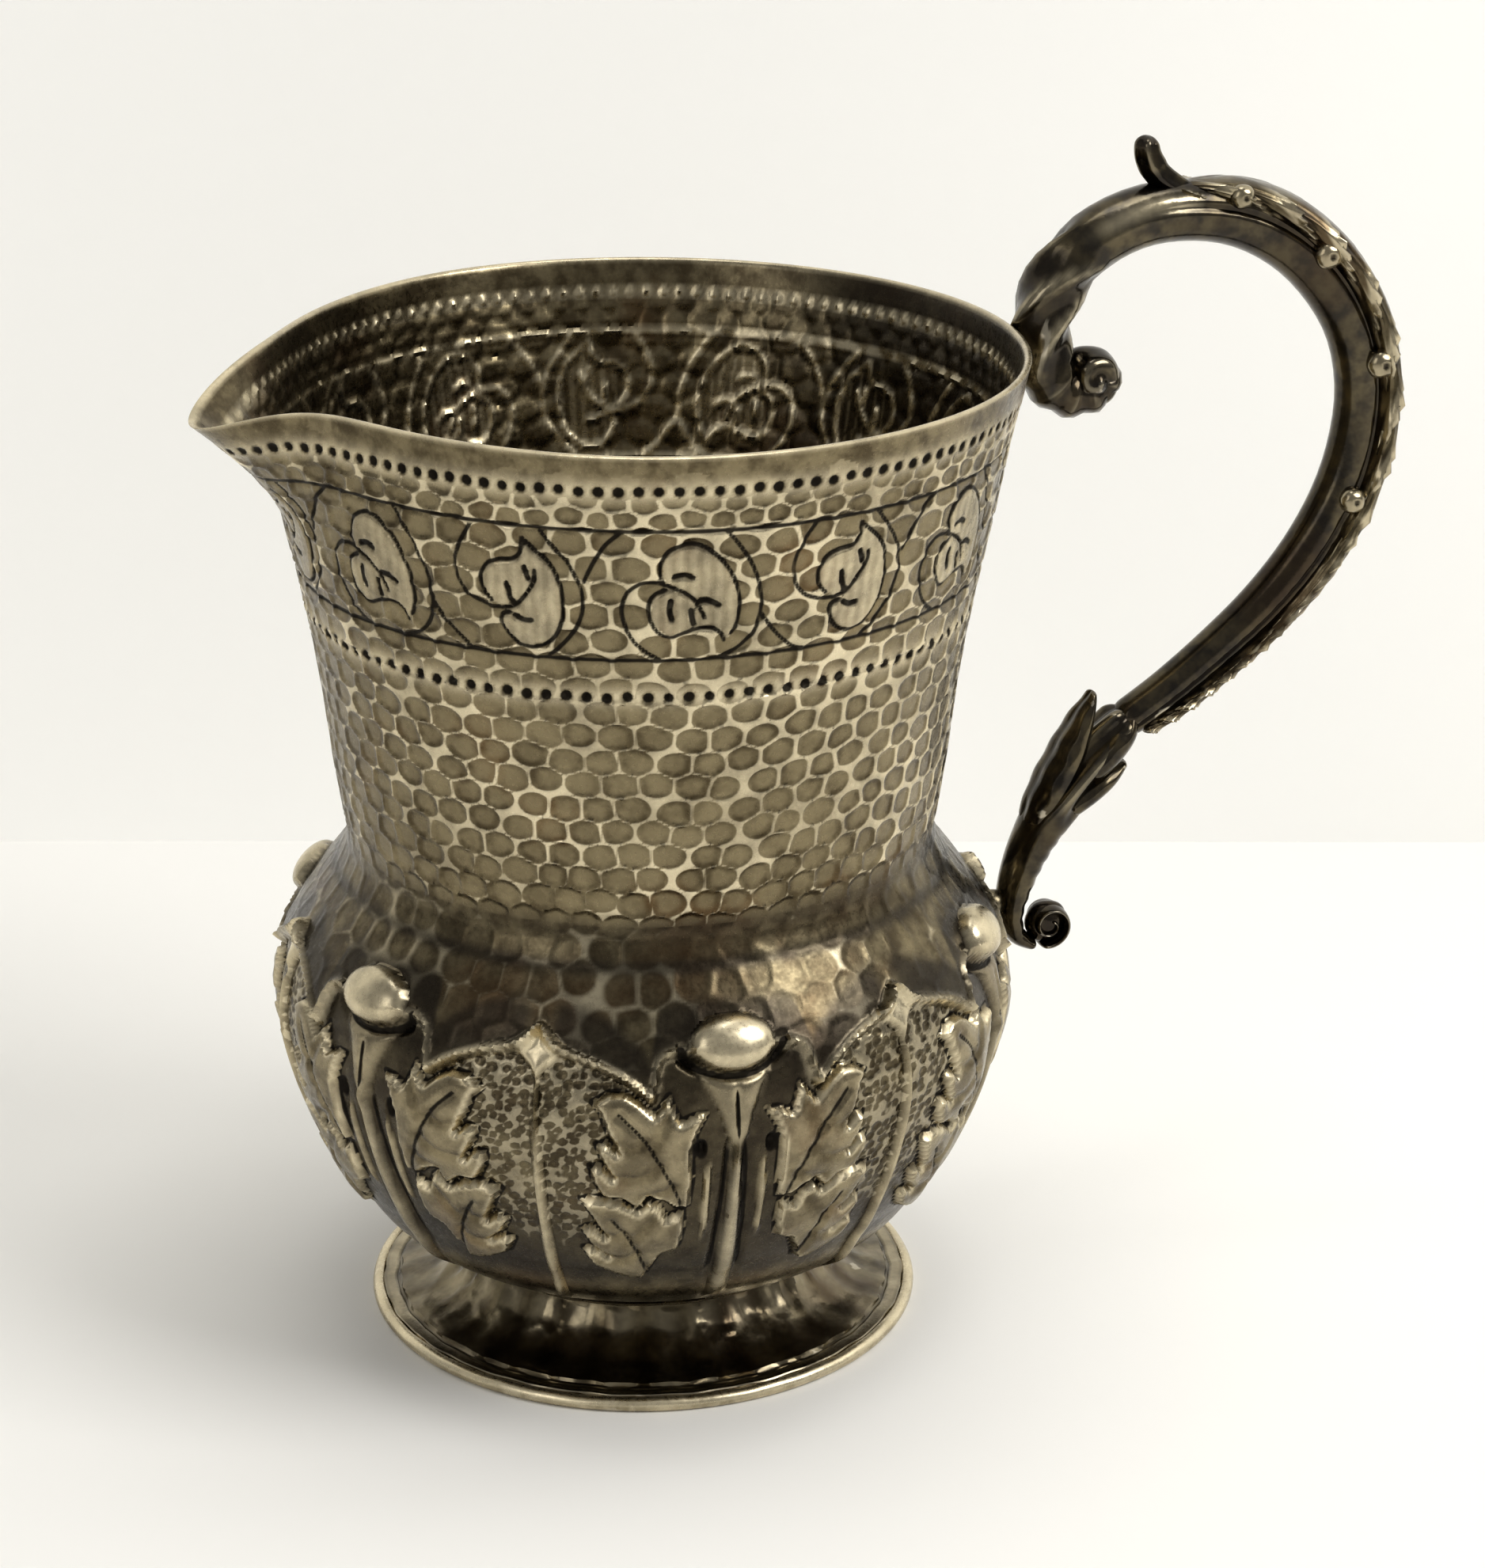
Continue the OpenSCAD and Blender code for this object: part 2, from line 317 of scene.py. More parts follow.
SIDE_VEINS = [
    [(13.6, 28.8), (16.2, 28.2), (18.0, 28.6)], [(11.8, 26.6), (14.6, 25.6), (18.0, 25.4)],
    [(12.8, 28.2), (11.6, 29.6), (10.2, 31.4)], [(9.8, 24.6), (12.4, 23.8), (14.2, 23.6)],
    [(17.2, 19.6), (19.4, 19.2), (21.6, 19.6)], [(15.4, 17.4), (18.0, 16.6), (21.4, 16.8)],
    [(16.6, 18.8), (14.8, 19.8), (12.4, 21.4)],
]
OGEE_EDGE = [(0.0, 37.5), (1.4, 36.5), (3.0, 36.0), (6.0, 35.5), (10.0, 34.8), (14.0, 33.7),
             (17.1, 32.4)]
CALYX_EDGE = [(6.4, 35.9), (8.4, 36.0), (10.9, 35.6), (11.7, 34.8), (12.2, 33.5), (12.9, 32.3)]
# Half width of the bell under a bud, at some heights
BELL_HEIGHTS = [26.5, 29, 31, 33, 34.6, 36.2]
BELL_HALVES = [0.5, 0.85, 1.35, 2.2, 3.2, 4.0]


class Marks:
    """What the hammer, punch and graver leave at each place of the body, with painted shade and
    shadow lines laid over it.
    """

    NAMES = ("height", "web", "cut", "polish_and_highlight", "tone", "dark")

    def __init__(self, shape):
        self.height = np.zeros(shape)
        self.web = np.full(shape, 0.33)
        self.cut = np.full(shape, 1.0)
        self.polish_and_highlight = np.zeros(shape)
        self.tone = np.full(shape, 0.5)
        self.dark = np.zeros(shape)

    def groove(self, distance):
        """Note how far a groove or a painted shadow line is, where it is the nearest one."""
        self.cut = np.minimum(self.cut, distance)

    def rub(self, amount):
        """Rub a place bright, unless it is brighter already."""
        self.polish_and_highlight = np.maximum(self.polish_and_highlight, amount)


def scaled(points, factor):
    """Points in degrees and heights turned into millimetres both ways."""
    return [(x * factor, y) for x, y in points]


def curve_distance(x, y, points, factor, steps):
    """Distance from each place to a smooth curve through points in degrees and heights."""
    return stroke(x, y, smooth_curve(scaled(points, factor), steps))


def frieze_marks(theta, z):
    """Distance to the frieze's engraving, and where its leaves are burnished."""
    factor = math.radians(1) * FRIEZE_R
    line = np.full(z.shape, FAR)
    leaf = np.zeros(z.shape, bool)
    for offset, strokes, nicks, way in ((0.0, FIRST_SCROLL, FIRST_NICKS, 1),
                                        (SCROLL_SECOND, SECOND_SCROLL, SECOND_NICKS, -1)):
        local = wrap(theta - SCROLL_TURN - offset, SCROLL_STEP) * factor
        for points in strokes:
            line = np.minimum(line, curve_distance(local, z, points, factor, 4))
        for points in nicks:
            line = np.minimum(line, curve_distance(local, z, points, factor, 3) - 0.06)
        outline = smooth_curve(scaled(strokes[2], factor), 3).tolist()
        outline += smooth_curve(scaled(strokes[3][::way], factor), 3).tolist()
        leaf |= inside(local, z, outline)
    return line, leaf


def painted_side_shade(theta):
    """How deep a place lies in the painted shade on the side by the lip."""
    return np.exp(-(wrap(theta + 172, 360) / 36) ** 2)


def punch_rows(mark, shape, theta, z):
    """Two rows of round punch marks, with a rubbed band along each."""
    for level, count in ((UPPER_PUNCH_Z, 129), (LOWER_PUNCH_Z, 110)):
        step = 360.0 / count
        across = wrap(theta, step) * math.radians(1) * radius_at(z)
        index = np.round(theta / step)
        up = z - level - (chance(index, level, 3) - 0.5) * 0.16
        d = np.hypot(across, up)
        hole = shape.punch_radius / MM * (0.92 + 0.2 * chance(index, level, 8))
        mark.height -= (shape.punch_depth / MM) * (1 - ramp(d, hole * 0.35, hole * 1.15))
        mark.height += 0.05 * np.exp(-((d - hole * 1.35) / 0.16) ** 2)
        mark.groove(d - hole * 0.86)
        near = np.exp(-((z - level) / 0.75) ** 2)
        mark.rub(near * ramp(d, hole, hole * 1.5) * 0.75)


def engrave_frieze(mark, shape, theta, z):
    """The band of scrolls and leaves between two engraved lines."""
    in_band = (z > SPLIT_FRIEZE - 0.6) & (z < FRIEZE_TOP + 0.6)
    line = np.full(z.shape, FAR)
    leaf = np.zeros(z.shape, bool)
    line[in_band], leaf[in_band] = frieze_marks(theta[in_band], z[in_band])
    waver = 0.12 * wave(theta, 2, 20)
    border = np.minimum(abs(z - FRIEZE_TOP - waver), abs(z - SPLIT_FRIEZE - 0.4 * waver))
    line = np.minimum(line, border)
    half = shape.line_half / MM
    soft_leaf = leaf & (line > half)
    mark.height = np.where(soft_leaf, mark.height * 0.12, mark.height)
    mark.height -= (shape.line_depth / MM) * (1 - ramp(line, half * 0.5, half + 0.26))
    mark.groove(line - half)
    panel = chance(np.floor((theta - SCROLL_TURN) / (SCROLL_STEP / 2) + 0.5), 1, 4)
    hatch = 0.12 * wave(theta, 190, 30 * np.sin(z * 2))
    # painted shade on the lip's side dims the rubbed leaves and darkens the frieze there
    side_shade = painted_side_shade(theta)
    rubbed = (0.3 + 0.3 * panel + hatch) * (1 - 0.6 * side_shade)
    mark.polish_and_highlight = np.where(soft_leaf, rubbed, mark.polish_and_highlight)
    mark.web = np.where(soft_leaf, 0.28 + 0.3 * side_shade, mark.web)


def neck_relief(shape, theta, z):
    """Hammer marks, punched rows and the engraved frieze on the neck."""
    mark = Marks(z.shape)
    drift = 0.35 * wave(theta, 3, 40) + 0.2 * wave(theta, 7)
    large = hammer(theta, z + drift, 28.5, shape.dents_round, shape.dent_row / MM, 0.3, 1)
    small = hammer(theta, z - 79.0, 30.5, 82, 1.5, 0.5, 13)
    dent, mark.tone, lean = (np.where(z > FRIEZE_TOP, b, a) for a, b in zip(large, small))
    hammered = (1 - ramp(z, 81.0, 82.0)) * ramp(z, 43.6, 45.2)
    sink = ramp(dent, 0.02, 0.42) * hammered
    mark.height += (0.05 * lean - shape.dent_depth / MM) * sink
    # painted shade at the foot of the neck, by the waist: the webs there are darker
    fade = (0.2 + 0.1 * wave(theta, 5)) * (1 - ramp(z, 45.0, 52.0))
    # a wavering tone, and painted shade on the lip's side that darkens the webs there
    fade += 0.05 * wave(theta, 4, z * 9) + 0.2 * painted_side_shade(theta)
    plain = 0.35 + 0.3 * (0.5 - mark.tone)
    mark.web = np.where(hammered > 0.5, 1.28 * dent + fade - 0.04, plain)
    punch_rows(mark, shape, theta, z)
    engrave_frieze(mark, shape, theta, z)
    return mark


def ridge(distance, half):
    """A rounded ridge of unit height."""
    return np.sqrt(np.clip(1 - (distance / half) ** 2, 0, 1))


def chase_leaves(mark, shape, x, y):
    """Two serrated leaves beside a bud. Gives where they are and the depth into them."""
    upper = scaled(UPPER_LEAF, DEGREE)
    lower = scaled(LOWER_LEAF, DEGREE)
    rim_up = stroke(x, y, upper + [upper[0]])
    rim_low = stroke(x, y, lower + [lower[0]])
    in_up = inside(x, y, upper)
    in_low = inside(x, y, lower) & ~in_up
    leaf = in_up | in_low
    depth_in = np.where(in_up, rim_up, np.where(in_low, rim_low, 0))
    lift = shape.leaf_height / MM
    swell = ramp(depth_in, -0.1, 0.44) * lift + 0.2 * ramp(depth_in, 0.3, 2.2)
    mark.height += np.where(leaf, swell - lift * 0.09, 0)
    vein_up = curve_distance(x, y, UPPER_VEIN, DEGREE, 3) + np.where(in_up, 0, FAR)
    vein_low = curve_distance(x, y, LOWER_VEIN, DEGREE, 3) + np.where(in_low, 0, FAR)
    vein = np.minimum(vein_up, vein_low)
    mark.height -= 0.3 * (1 - ramp(vein, 0.0, 0.6))
    mark.groove(vein - 0.1)
    side = np.full(x.shape, FAR)
    for points in SIDE_VEINS:
        side = np.minimum(side, curve_distance(x, y, points, DEGREE, 3))
    mark.height -= np.where(leaf, 0.2 * (1 - ramp(side, 0.0, 0.65)), 0)
    # painted shadow lines: along the ground round each leaf, and on the lower leaf under the upper
    # leaf's edge
    mark.groove(np.where(leaf, FAR, np.minimum(rim_up, rim_low)) - 0.2)
    mark.groove(np.where(in_low, rim_up, FAR) - 0.25)
    edge = 0.05 + 0.75 * np.exp(-((depth_in - 0.3) / 0.18) ** 2)
    edge = edge * ramp(depth_in, 0.0, 0.28) + 0.1 * ramp(side, 0.3, 1.0)
    mark.polish_and_highlight = np.where(leaf, edge, mark.polish_and_highlight)
    return leaf, depth_in


def chase_bud(mark, shape, x, y, dz, q):
    """An oval bud, the hollow under it and the smooth bell that it sits in."""
    bell = ridge(x, np.interp(y, BELL_HEIGHTS, BELL_HALVES))
    bell = bell * ramp(y, 26.5, 29.5) * ramp(36.4 - y, 0, 0.8) * ramp(q, 0.9, 1.5)
    mark.height += 0.75 * bell
    mark.rub(0.3 * bell)
    bud = np.sqrt(np.clip(1 - q, 0, 1))
    mark.height += (shape.bud_height / MM) * bud ** 0.8
    mark.polish_and_highlight = np.where(q < 1.0, 0.45 + 0.5 * bud, mark.polish_and_highlight)
    hollow = np.exp(-((np.sqrt(q) - 1.27) / 0.2) ** 2) * ramp(0.4 - dz, 0, 0.8) * (x < 4.6)
    mark.height -= 0.55 * hollow
    mark.groove(0.55 - 0.75 * hollow)
    seam = np.exp(-((np.sqrt(q) - 1.06) / 0.05) ** 2) * (x < 3.9)
    mark.groove(0.4 - 0.36 * seam)
    return bud, bell


def chase_stem(mark, x, y, q):
    """The bud's stem: a rib between two valleys, and a spear with a hole above it."""
    half = 0.18 + np.clip(30 - y, 0, 20) * 0.05
    rib = ridge(x, half) * ramp(30.5 - y, 0, 3.5) * ramp(y, 9, 13)
    mark.height += 0.62 * rib * (q > 1.6)
    mark.rub(0.6 * rib ** 2 * (rib > 0.1))
    valley = np.exp(-((x - half - 0.45) / 0.34) ** 2) * ramp(30 - y, 0, 3) * ramp(y, 12, 15)
    mark.height -= 0.3 * valley
    mark.groove(0.5 - 0.62 * valley)
    slot = (1 - ramp(x, 0.08, 0.34)) * ramp(y, 28.2, 29.6) * (1 - ramp(y, 32.4, 33.8))
    mark.height -= 0.35 * slot
    mark.groove(0.4 - 0.6 * slot)
    spear_half = 0.12 + 0.26 * np.sin(np.clip((y - 17.5) / 9.6, 0, 1) * math.pi)
    spear = ridge(x - 2.42 + 0.03 * (y - 22), spear_half)
    spear = spear * ramp(y, 17.5, 19.5) * (1 - ramp(y, 25.8, 27.1))
    mark.height += 0.34 * spear
    mark.rub(0.5 * spear ** 2)
    hole = np.hypot((x - 2.9) / 0.5, (y - 27.8) / 0.95)
    mark.height -= 0.5 * (1 - ramp(hole, 0.4, 1.15))
    mark.groove((hole - 0.95) * 0.5)
    return spear


def chase_lobe(mark, xb, y):
    """An ogee lobe's bright pointed tip and the rib down its middle."""
    tip_half = 0.24 + 2.3 * ramp(y, 32.6, 36.3) ** 3
    tip_half = np.where(y > 36.0, np.clip(37.9 - y, 0, 2) * 1.3, tip_half)
    tip = ridge(xb, np.maximum(tip_half, 0.02)) * ramp(y, 32.6, 34.4) * (1 - ramp(y, 37.3, 37.9))
    mark.height += 0.75 * tip
    mark.rub(0.85 * tip ** 0.7 * (tip > 0.05))
    keel_half = 0.2 + np.clip(33 - y, 0, 20) * 0.02
    keel = ridge(xb, keel_half) * (1 - ramp(y, 32.4, 33.6)) * ramp(y, 8.5, 12)
    mark.height += 0.6 * keel
    mark.rub(0.58 * keel ** 1.5 * (keel > 0.1))
    return np.maximum(tip, keel)


def bowl_relief(shape, theta, z):
    """Buds, leaves, ogee lobes and the stippled ground on the bowl, and the shoulder above."""
    mark = Marks(z.shape)
    bend = 0.45 * wave(theta, 2, 75) + 0.25 * wave(theta, 5, z * 4)
    rise = 0.22 * wave(theta, 3, 15) + 0.12 * wave(theta, 11)
    # degrees from the nearest bud and from the nearest lobe's middle
    a = abs(wrap(theta + bend - BUD_TURN, BUD_STEP))
    b = BUD_STEP / 2 - a
    x = a * DEGREE
    xb = b * DEGREE
    y = z + rise * ramp(z, 10, 16)
    ogee = smooth_curve(scaled(OGEE_EDGE, DEGREE), 4)
    calyx = smooth_curve(scaled(CALYX_EDGE, DEGREE), 4)
    top = np.interp(xb, ogee[:, 0], ogee[:, 1])
    bell_top = np.where(a < CALYX_EDGE[0][0], 36.0, np.interp(x, calyx[:, 0], calyx[:, 1]))
    crest = np.where(a < CALYX_EDGE[-1][0], bell_top, top)
    # the bud's oval, 1 at its edge
    dz = y - 36.5
    q = (x / 3.5) ** 2 + (dz / np.where(dz > 0, 2.0, 1.9)) ** 2
    ground = ramp(crest - y, -0.12, 0.35) * ramp(y, 10.5, 14) * ramp(q, 0.8, 1.5)
    mark.height -= (shape.ground_depth / MM) * ground
    # raised edges of the lobes and of the bells
    d_ogee = np.where(b < 17.6, stroke(xb, y, ogee), FAR)
    d_calyx = stroke(x, y, calyx)
    mark.height += 0.42 * ridge(d_ogee, 0.42) * ramp(b, 0.0, 1.0) + 0.34 * ridge(d_calyx, 0.4)
    mark.polish_and_highlight = 0.58 * np.exp(-(d_ogee / 0.36) ** 2) + 0.4 * np.exp(-(d_calyx / 0.36) ** 2)

    leaf, depth_in = chase_leaves(mark, shape, x, y)
    bud, bell = chase_bud(mark, shape, x, y, dz, q)
    spear = chase_stem(mark, x, y, q)
    lobe = chase_lobe(mark, xb, y)

    # stippled ground
    dots = hammer(theta, z, 30.5, 196, 0.84, 1.0, 21)[0]
    flat = ground * (1 - leaf) * (1 - np.maximum(lobe, spear))
    stipple = flat * ramp(y, 14, 24) * (b < 17)
    mark.height -= 0.16 * ramp(dots, 0.0, 0.24) * stipple
    # planishing marks on the shoulder
    dent, tone, lean = hammer(theta, z, 28.5, 59, 2.3, 0.45, 31)
    shoulder = (1 - ground) * ramp(y, 33, 36) * (1 - np.clip(bud * 3, 0, 1))
    mark.height += (0.022 * lean - 0.06 * ramp(dent, 0.02, 0.5)) * shoulder
    patch = 0.13 * wave(theta, 5, 135) * wave(theta, 3, 31)
    broad_web = dent * 0.4 + 0.2 + patch + 0.08 * ramp(abs(z - 39.5), 1, 3)
    dot_web = dots * 2.3 + 0.02 + 0.06 * (1 - ramp(y, 17, 28))
    mark.web = np.where(shoulder > 0.5, broad_web, 0.4)
    mark.web += (dot_web - mark.web) * ramp(stipple, 0.08, 0.6)
    mark.tone = np.where(stipple > 0.3, 0.4, 0.4 + 0.15 * tone)
    mark.tone = np.where(leaf, 0.42 - 0.3 * ramp(depth_in, 0.35, 1.5), mark.tone)
    # the crease under the waist
    crease = np.exp(-((z - 41.4) / 0.5) ** 2)
    mark.height -= 0.1 * crease
    mark.polish_and_highlight = np.clip(mark.polish_and_highlight, 0, 1)
    above = ramp(y, crest, crest + 0.4) * (1 - ramp(y, crest + 1.8, crest + 4.2))
    above = above * ramp(b, 0.5, 5.0)
    mark.dark = np.clip(0.95 * flat + 0.5 * shoulder + 0.9 * above + 0.5 * crease
                        - 0.3 * stipple + 0.16 * leaf - 0.5 * bell, 0, 1.2)
    return mark


def lip_drop(theta):
    """How far the rim drops at an angle round the jug."""
    return LIP_DROP * np.exp(-(wrap(theta - 180, 360) / 12.5) ** 2)


def lip(x, y, z):
    """Pull the pouring lip out of the round neck."""
    theta = np.degrees(np.arctan2(y, x))
    away = abs(wrap(theta - 180, 360))
    t = np.clip((z - LIP_START) / (RIM_H - LIP_START), 0, 1.02)
    push = LIP_OUT * np.exp(-(away / 15.1) ** 2) - LIP_PINCH * np.exp(-(away / 65) ** 5)
    radius = np.hypot(x, y)
    scale = (radius + push * t ** 1.6) / np.maximum(radius, 1e-6)
    return x * scale, y * scale, z - lip_drop(theta) * t


# ---------------------------------------------------------------- modelling helpers

def deselect():
    """Nothing selected, and object mode."""
    if bpy.context.object and bpy.context.object.mode != "OBJECT":
        bpy.ops.object.mode_set(mode="OBJECT")
    bpy.ops.object.select_all(action="DESELECT")


def activate(obj):
    """Select one object and make it active."""
    deselect()
    obj.select_set(True)
    bpy.context.view_layer.objects.active = obj


def coordinates(mesh):
    """Vertex places as rows, in the mesh's own unit."""
    out = np.empty(len(mesh.vertices) * 3)
    mesh.vertices.foreach_get("co", out)
    return out.reshape(-1, 3)


def polar(mesh):
    """Vertex places in millimetres, with their angle and distance from the axis."""
    co = coordinates(mesh) / MM
    return co, np.arctan2(co[:, 1], co[:, 0]), np.hypot(co[:, 0], co[:, 1])


def put_coordinates(mesh, rows):
    """Write vertex places back."""
    mesh.vertices.foreach_set("co", np.ascontiguousarray(rows, float).ravel())
    mesh.update()


def paint(mesh, name, values):
    """Store one number per vertex for the materials."""
    layer = mesh.attributes.get(name) or mesh.attributes.new(name, "FLOAT", "POINT")
    layer.data.foreach_set("value", np.ascontiguousarray(values, np.float32))


def revolve(name, points, steps, closed):
    """Turn an outline of radius and height, in millimetres, about the jug's axis."""
    deselect()
    mesh = bpy.data.meshes.new(name)
    count = len(points)
    edges = [(i, i + 1) for i in range(count - 1)]
    if closed:
        edges.append((count - 1, 0))
    mesh.from_pydata([(r * MM, 0, z * MM) for r, z in points], edges, [])
    obj = bpy.data.objects.new(name, mesh)
    bpy.context.collection.objects.link(obj)
    activate(obj)
    bpy.ops.object.modifier_add(type="SCREW")
    turn = obj.modifiers[-1]
    turn.angle = math.tau
    turn.axis = "Z"
    turn.screw_offset = 0.0
    turn.steps = steps
    turn.render_steps = steps
    turn.use_merge_vertices = True
    turn.merge_threshold = 2e-6
    bpy.ops.object.modifier_apply(modifier=turn.name)
    bpy.ops.object.mode_set(mode="EDIT")
    bpy.ops.mesh.select_all(action="SELECT")
    bpy.ops.mesh.remove_doubles(threshold=2e-6)
    bpy.ops.mesh.normals_make_consistent(inside=False)
    bpy.ops.object.mode_set(mode="OBJECT")
    return obj


def finish_piece(obj, node, slot, look=None, angle=60.0):
    """Shade a piece, give it its material and hand it to the frame."""
    activate(obj)
    bpy.ops.object.shade_smooth_by_angle(angle=math.radians(angle))
    obj.data.materials.clear()
    obj.data.materials.append(bpy.data.materials["look_" + (look or slot)])
    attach(obj, "root")
    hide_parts(node)
    deselect()


def ring_outline(low, high, outer_step, inner_step, wall):
    """Outline of a closed ring of the body's wall between two heights."""
    def heights(step):
        z = np.linspace(low, high, 400)
        r = radius_at(z)
        run = np.concatenate([[0], np.cumsum(np.hypot(np.diff(z), np.diff(r)))])
        return np.interp(np.linspace(0, run[-1], max(3, int(round(run[-1] / step)))), run, z)

    points = [(float(radius_at(z)), float(z)) for z in heights(outer_step)]
    for z in heights(inner_step)[::-1]:
        slope = float(slope_at(z))
        keep = wall / math.hypot(1, slope)
        dz = keep * slope if low < z < high else 0.0
        points.append((float(radius_at(z)) - keep, float(z) + dz))
    return points


def lower_outline(wall):
    """Outline of the lowest ring: the disc on the foot, the wall and the floor inside."""
    ring = ring_outline(BASE_Z, SPLIT_LEAVES, 0.27, 0.8, wall)
    disc = [(r, BASE_Z) for r in np.linspace(0, BASE_R, 9)[:-1]]
    floor_in = [(r, BASE_Z + wall) for r in np.linspace(BASE_R - wall * 1.4, 0, 9)]
    keep = [p for p in ring if p[0] >= BASE_R - wall or p[1] > BASE_Z + wall]
    outer = [p for p in keep if p[0] > radius_at(p[1]) - wall * 0.3]
    inner = [p for p in keep if p[0] <= radius_at(p[1]) - wall * 0.3
             and p[1] > BASE_Z + wall + 0.25]
    return disc + outer + inner + floor_in


def rim_outline(wall):
    """Outline of the top ring, with a rounded rim."""
    outline = ring_outline(SPLIT_FRIEZE, RIM_H - 0.28, 0.21, 0.38, wall)
    top = [p for p in outline if p[1] > RIM_H - 0.5]
    peak = outline.index(max(top, key=lambda p: p[0] + p[1])) + 1
    r = BOWL_R
    crown = [(r - 0.03, RIM_H - 0.14), (r - 0.16, RIM_H - 0.03), (r - wall / 2, RIM_H),
             (r - wall + 0.16, RIM_H - 0.03), (r - wall + 0.03, RIM_H - 0.14)]
    return outline[:peak] + crown + outline[peak:]


def raise_piece(obj, shape):
    """Chase the pattern into a plain ring of the body and note its patina and painted shade."""
    mesh = obj.data
    x, y, z = (coordinates(mesh) / MM).T
    radius = np.hypot(x, y)
    theta = np.degrees(np.arctan2(y, x))
    is_inner = radius < radius_at(z) - shape.wall / MM * 0.5
    mark = Marks(z.shape)
    upper = z > SPLIT_WAIST - 0.01
    for part, relief in ((upper, neck_relief), (~upper, bowl_relief)):
        if part.any():
            found = relief(shape, theta[part], z[part])
            for name in Marks.NAMES:
                getattr(mark, name)[part] = getattr(found, name)
    # painted shade on the underside of the bowl, low down towards the foot
    dark = np.maximum(mark.dark, 0.9 * (1 - ramp(z, 9.0, 13.5)))
    # painted shade along the waist, where the neck meets the shoulder
    dark = np.maximum(dark, 0.75 * np.exp(-((z - 44.0) / 1.7) ** 2))

    # move each place square to the wall; the inside follows the chasing a little less
    slope = slope_at(z)
    square = np.hypot(1, slope)
    height = mark.height * ramp(z, BASE_Z + 0.3, BASE_Z + 2.5)
    height = np.where(is_inner, height * 0.85, height)
    height = np.where(radius < 1.0, 0.0, height)
    factor = (radius + height / square) / np.maximum(radius, 1e-6)
    factor = np.where(radius < 1.0, 1.0, factor)
    x, y, z = lip(x * factor, y * factor, z - height * slope / square)
    put_coordinates(mesh, np.stack([x, y, z], 1) * MM)

    # inside: painted shade by the handle, towards the lip and low down, and rubbed lines where the
    # chasing shows through
    inner_shade = 0.22 + 0.85 * np.exp(-(wrap(theta - 15, 360) / 42) ** 2)
    inner_shade += 0.35 * np.exp(-(wrap(theta - 150, 360) / 30) ** 2) + 0.3 * (1 - ramp(z, 50, 76))
    through = 0.6 * (1 - ramp(mark.cut, 0.0, 0.3)) + 0.2 * (mark.polish_and_highlight > 0.5)
    at_edge = np.clip(1 - (RIM_H - lip_drop(theta) - z) / 0.35, 0, 1) * (z > RIM_H - 4.2)
    polish_and_highlight = np.maximum(np.where(is_inner, through, mark.polish_and_highlight), 0.85 * at_edge)
    paint(mesh, "web", np.where(is_inner, 0.4, mark.web))
    paint(mesh, "cut", np.where(is_inner, 1.0, np.clip(mark.cut, -1, 1)))
    paint(mesh, "polish_and_highlight", polish_and_highlight)
    paint(mesh, "tone", np.where(is_inner, 0.4, mark.tone))
    paint(mesh, "dark", np.where(is_inner, inner_shade, dark))


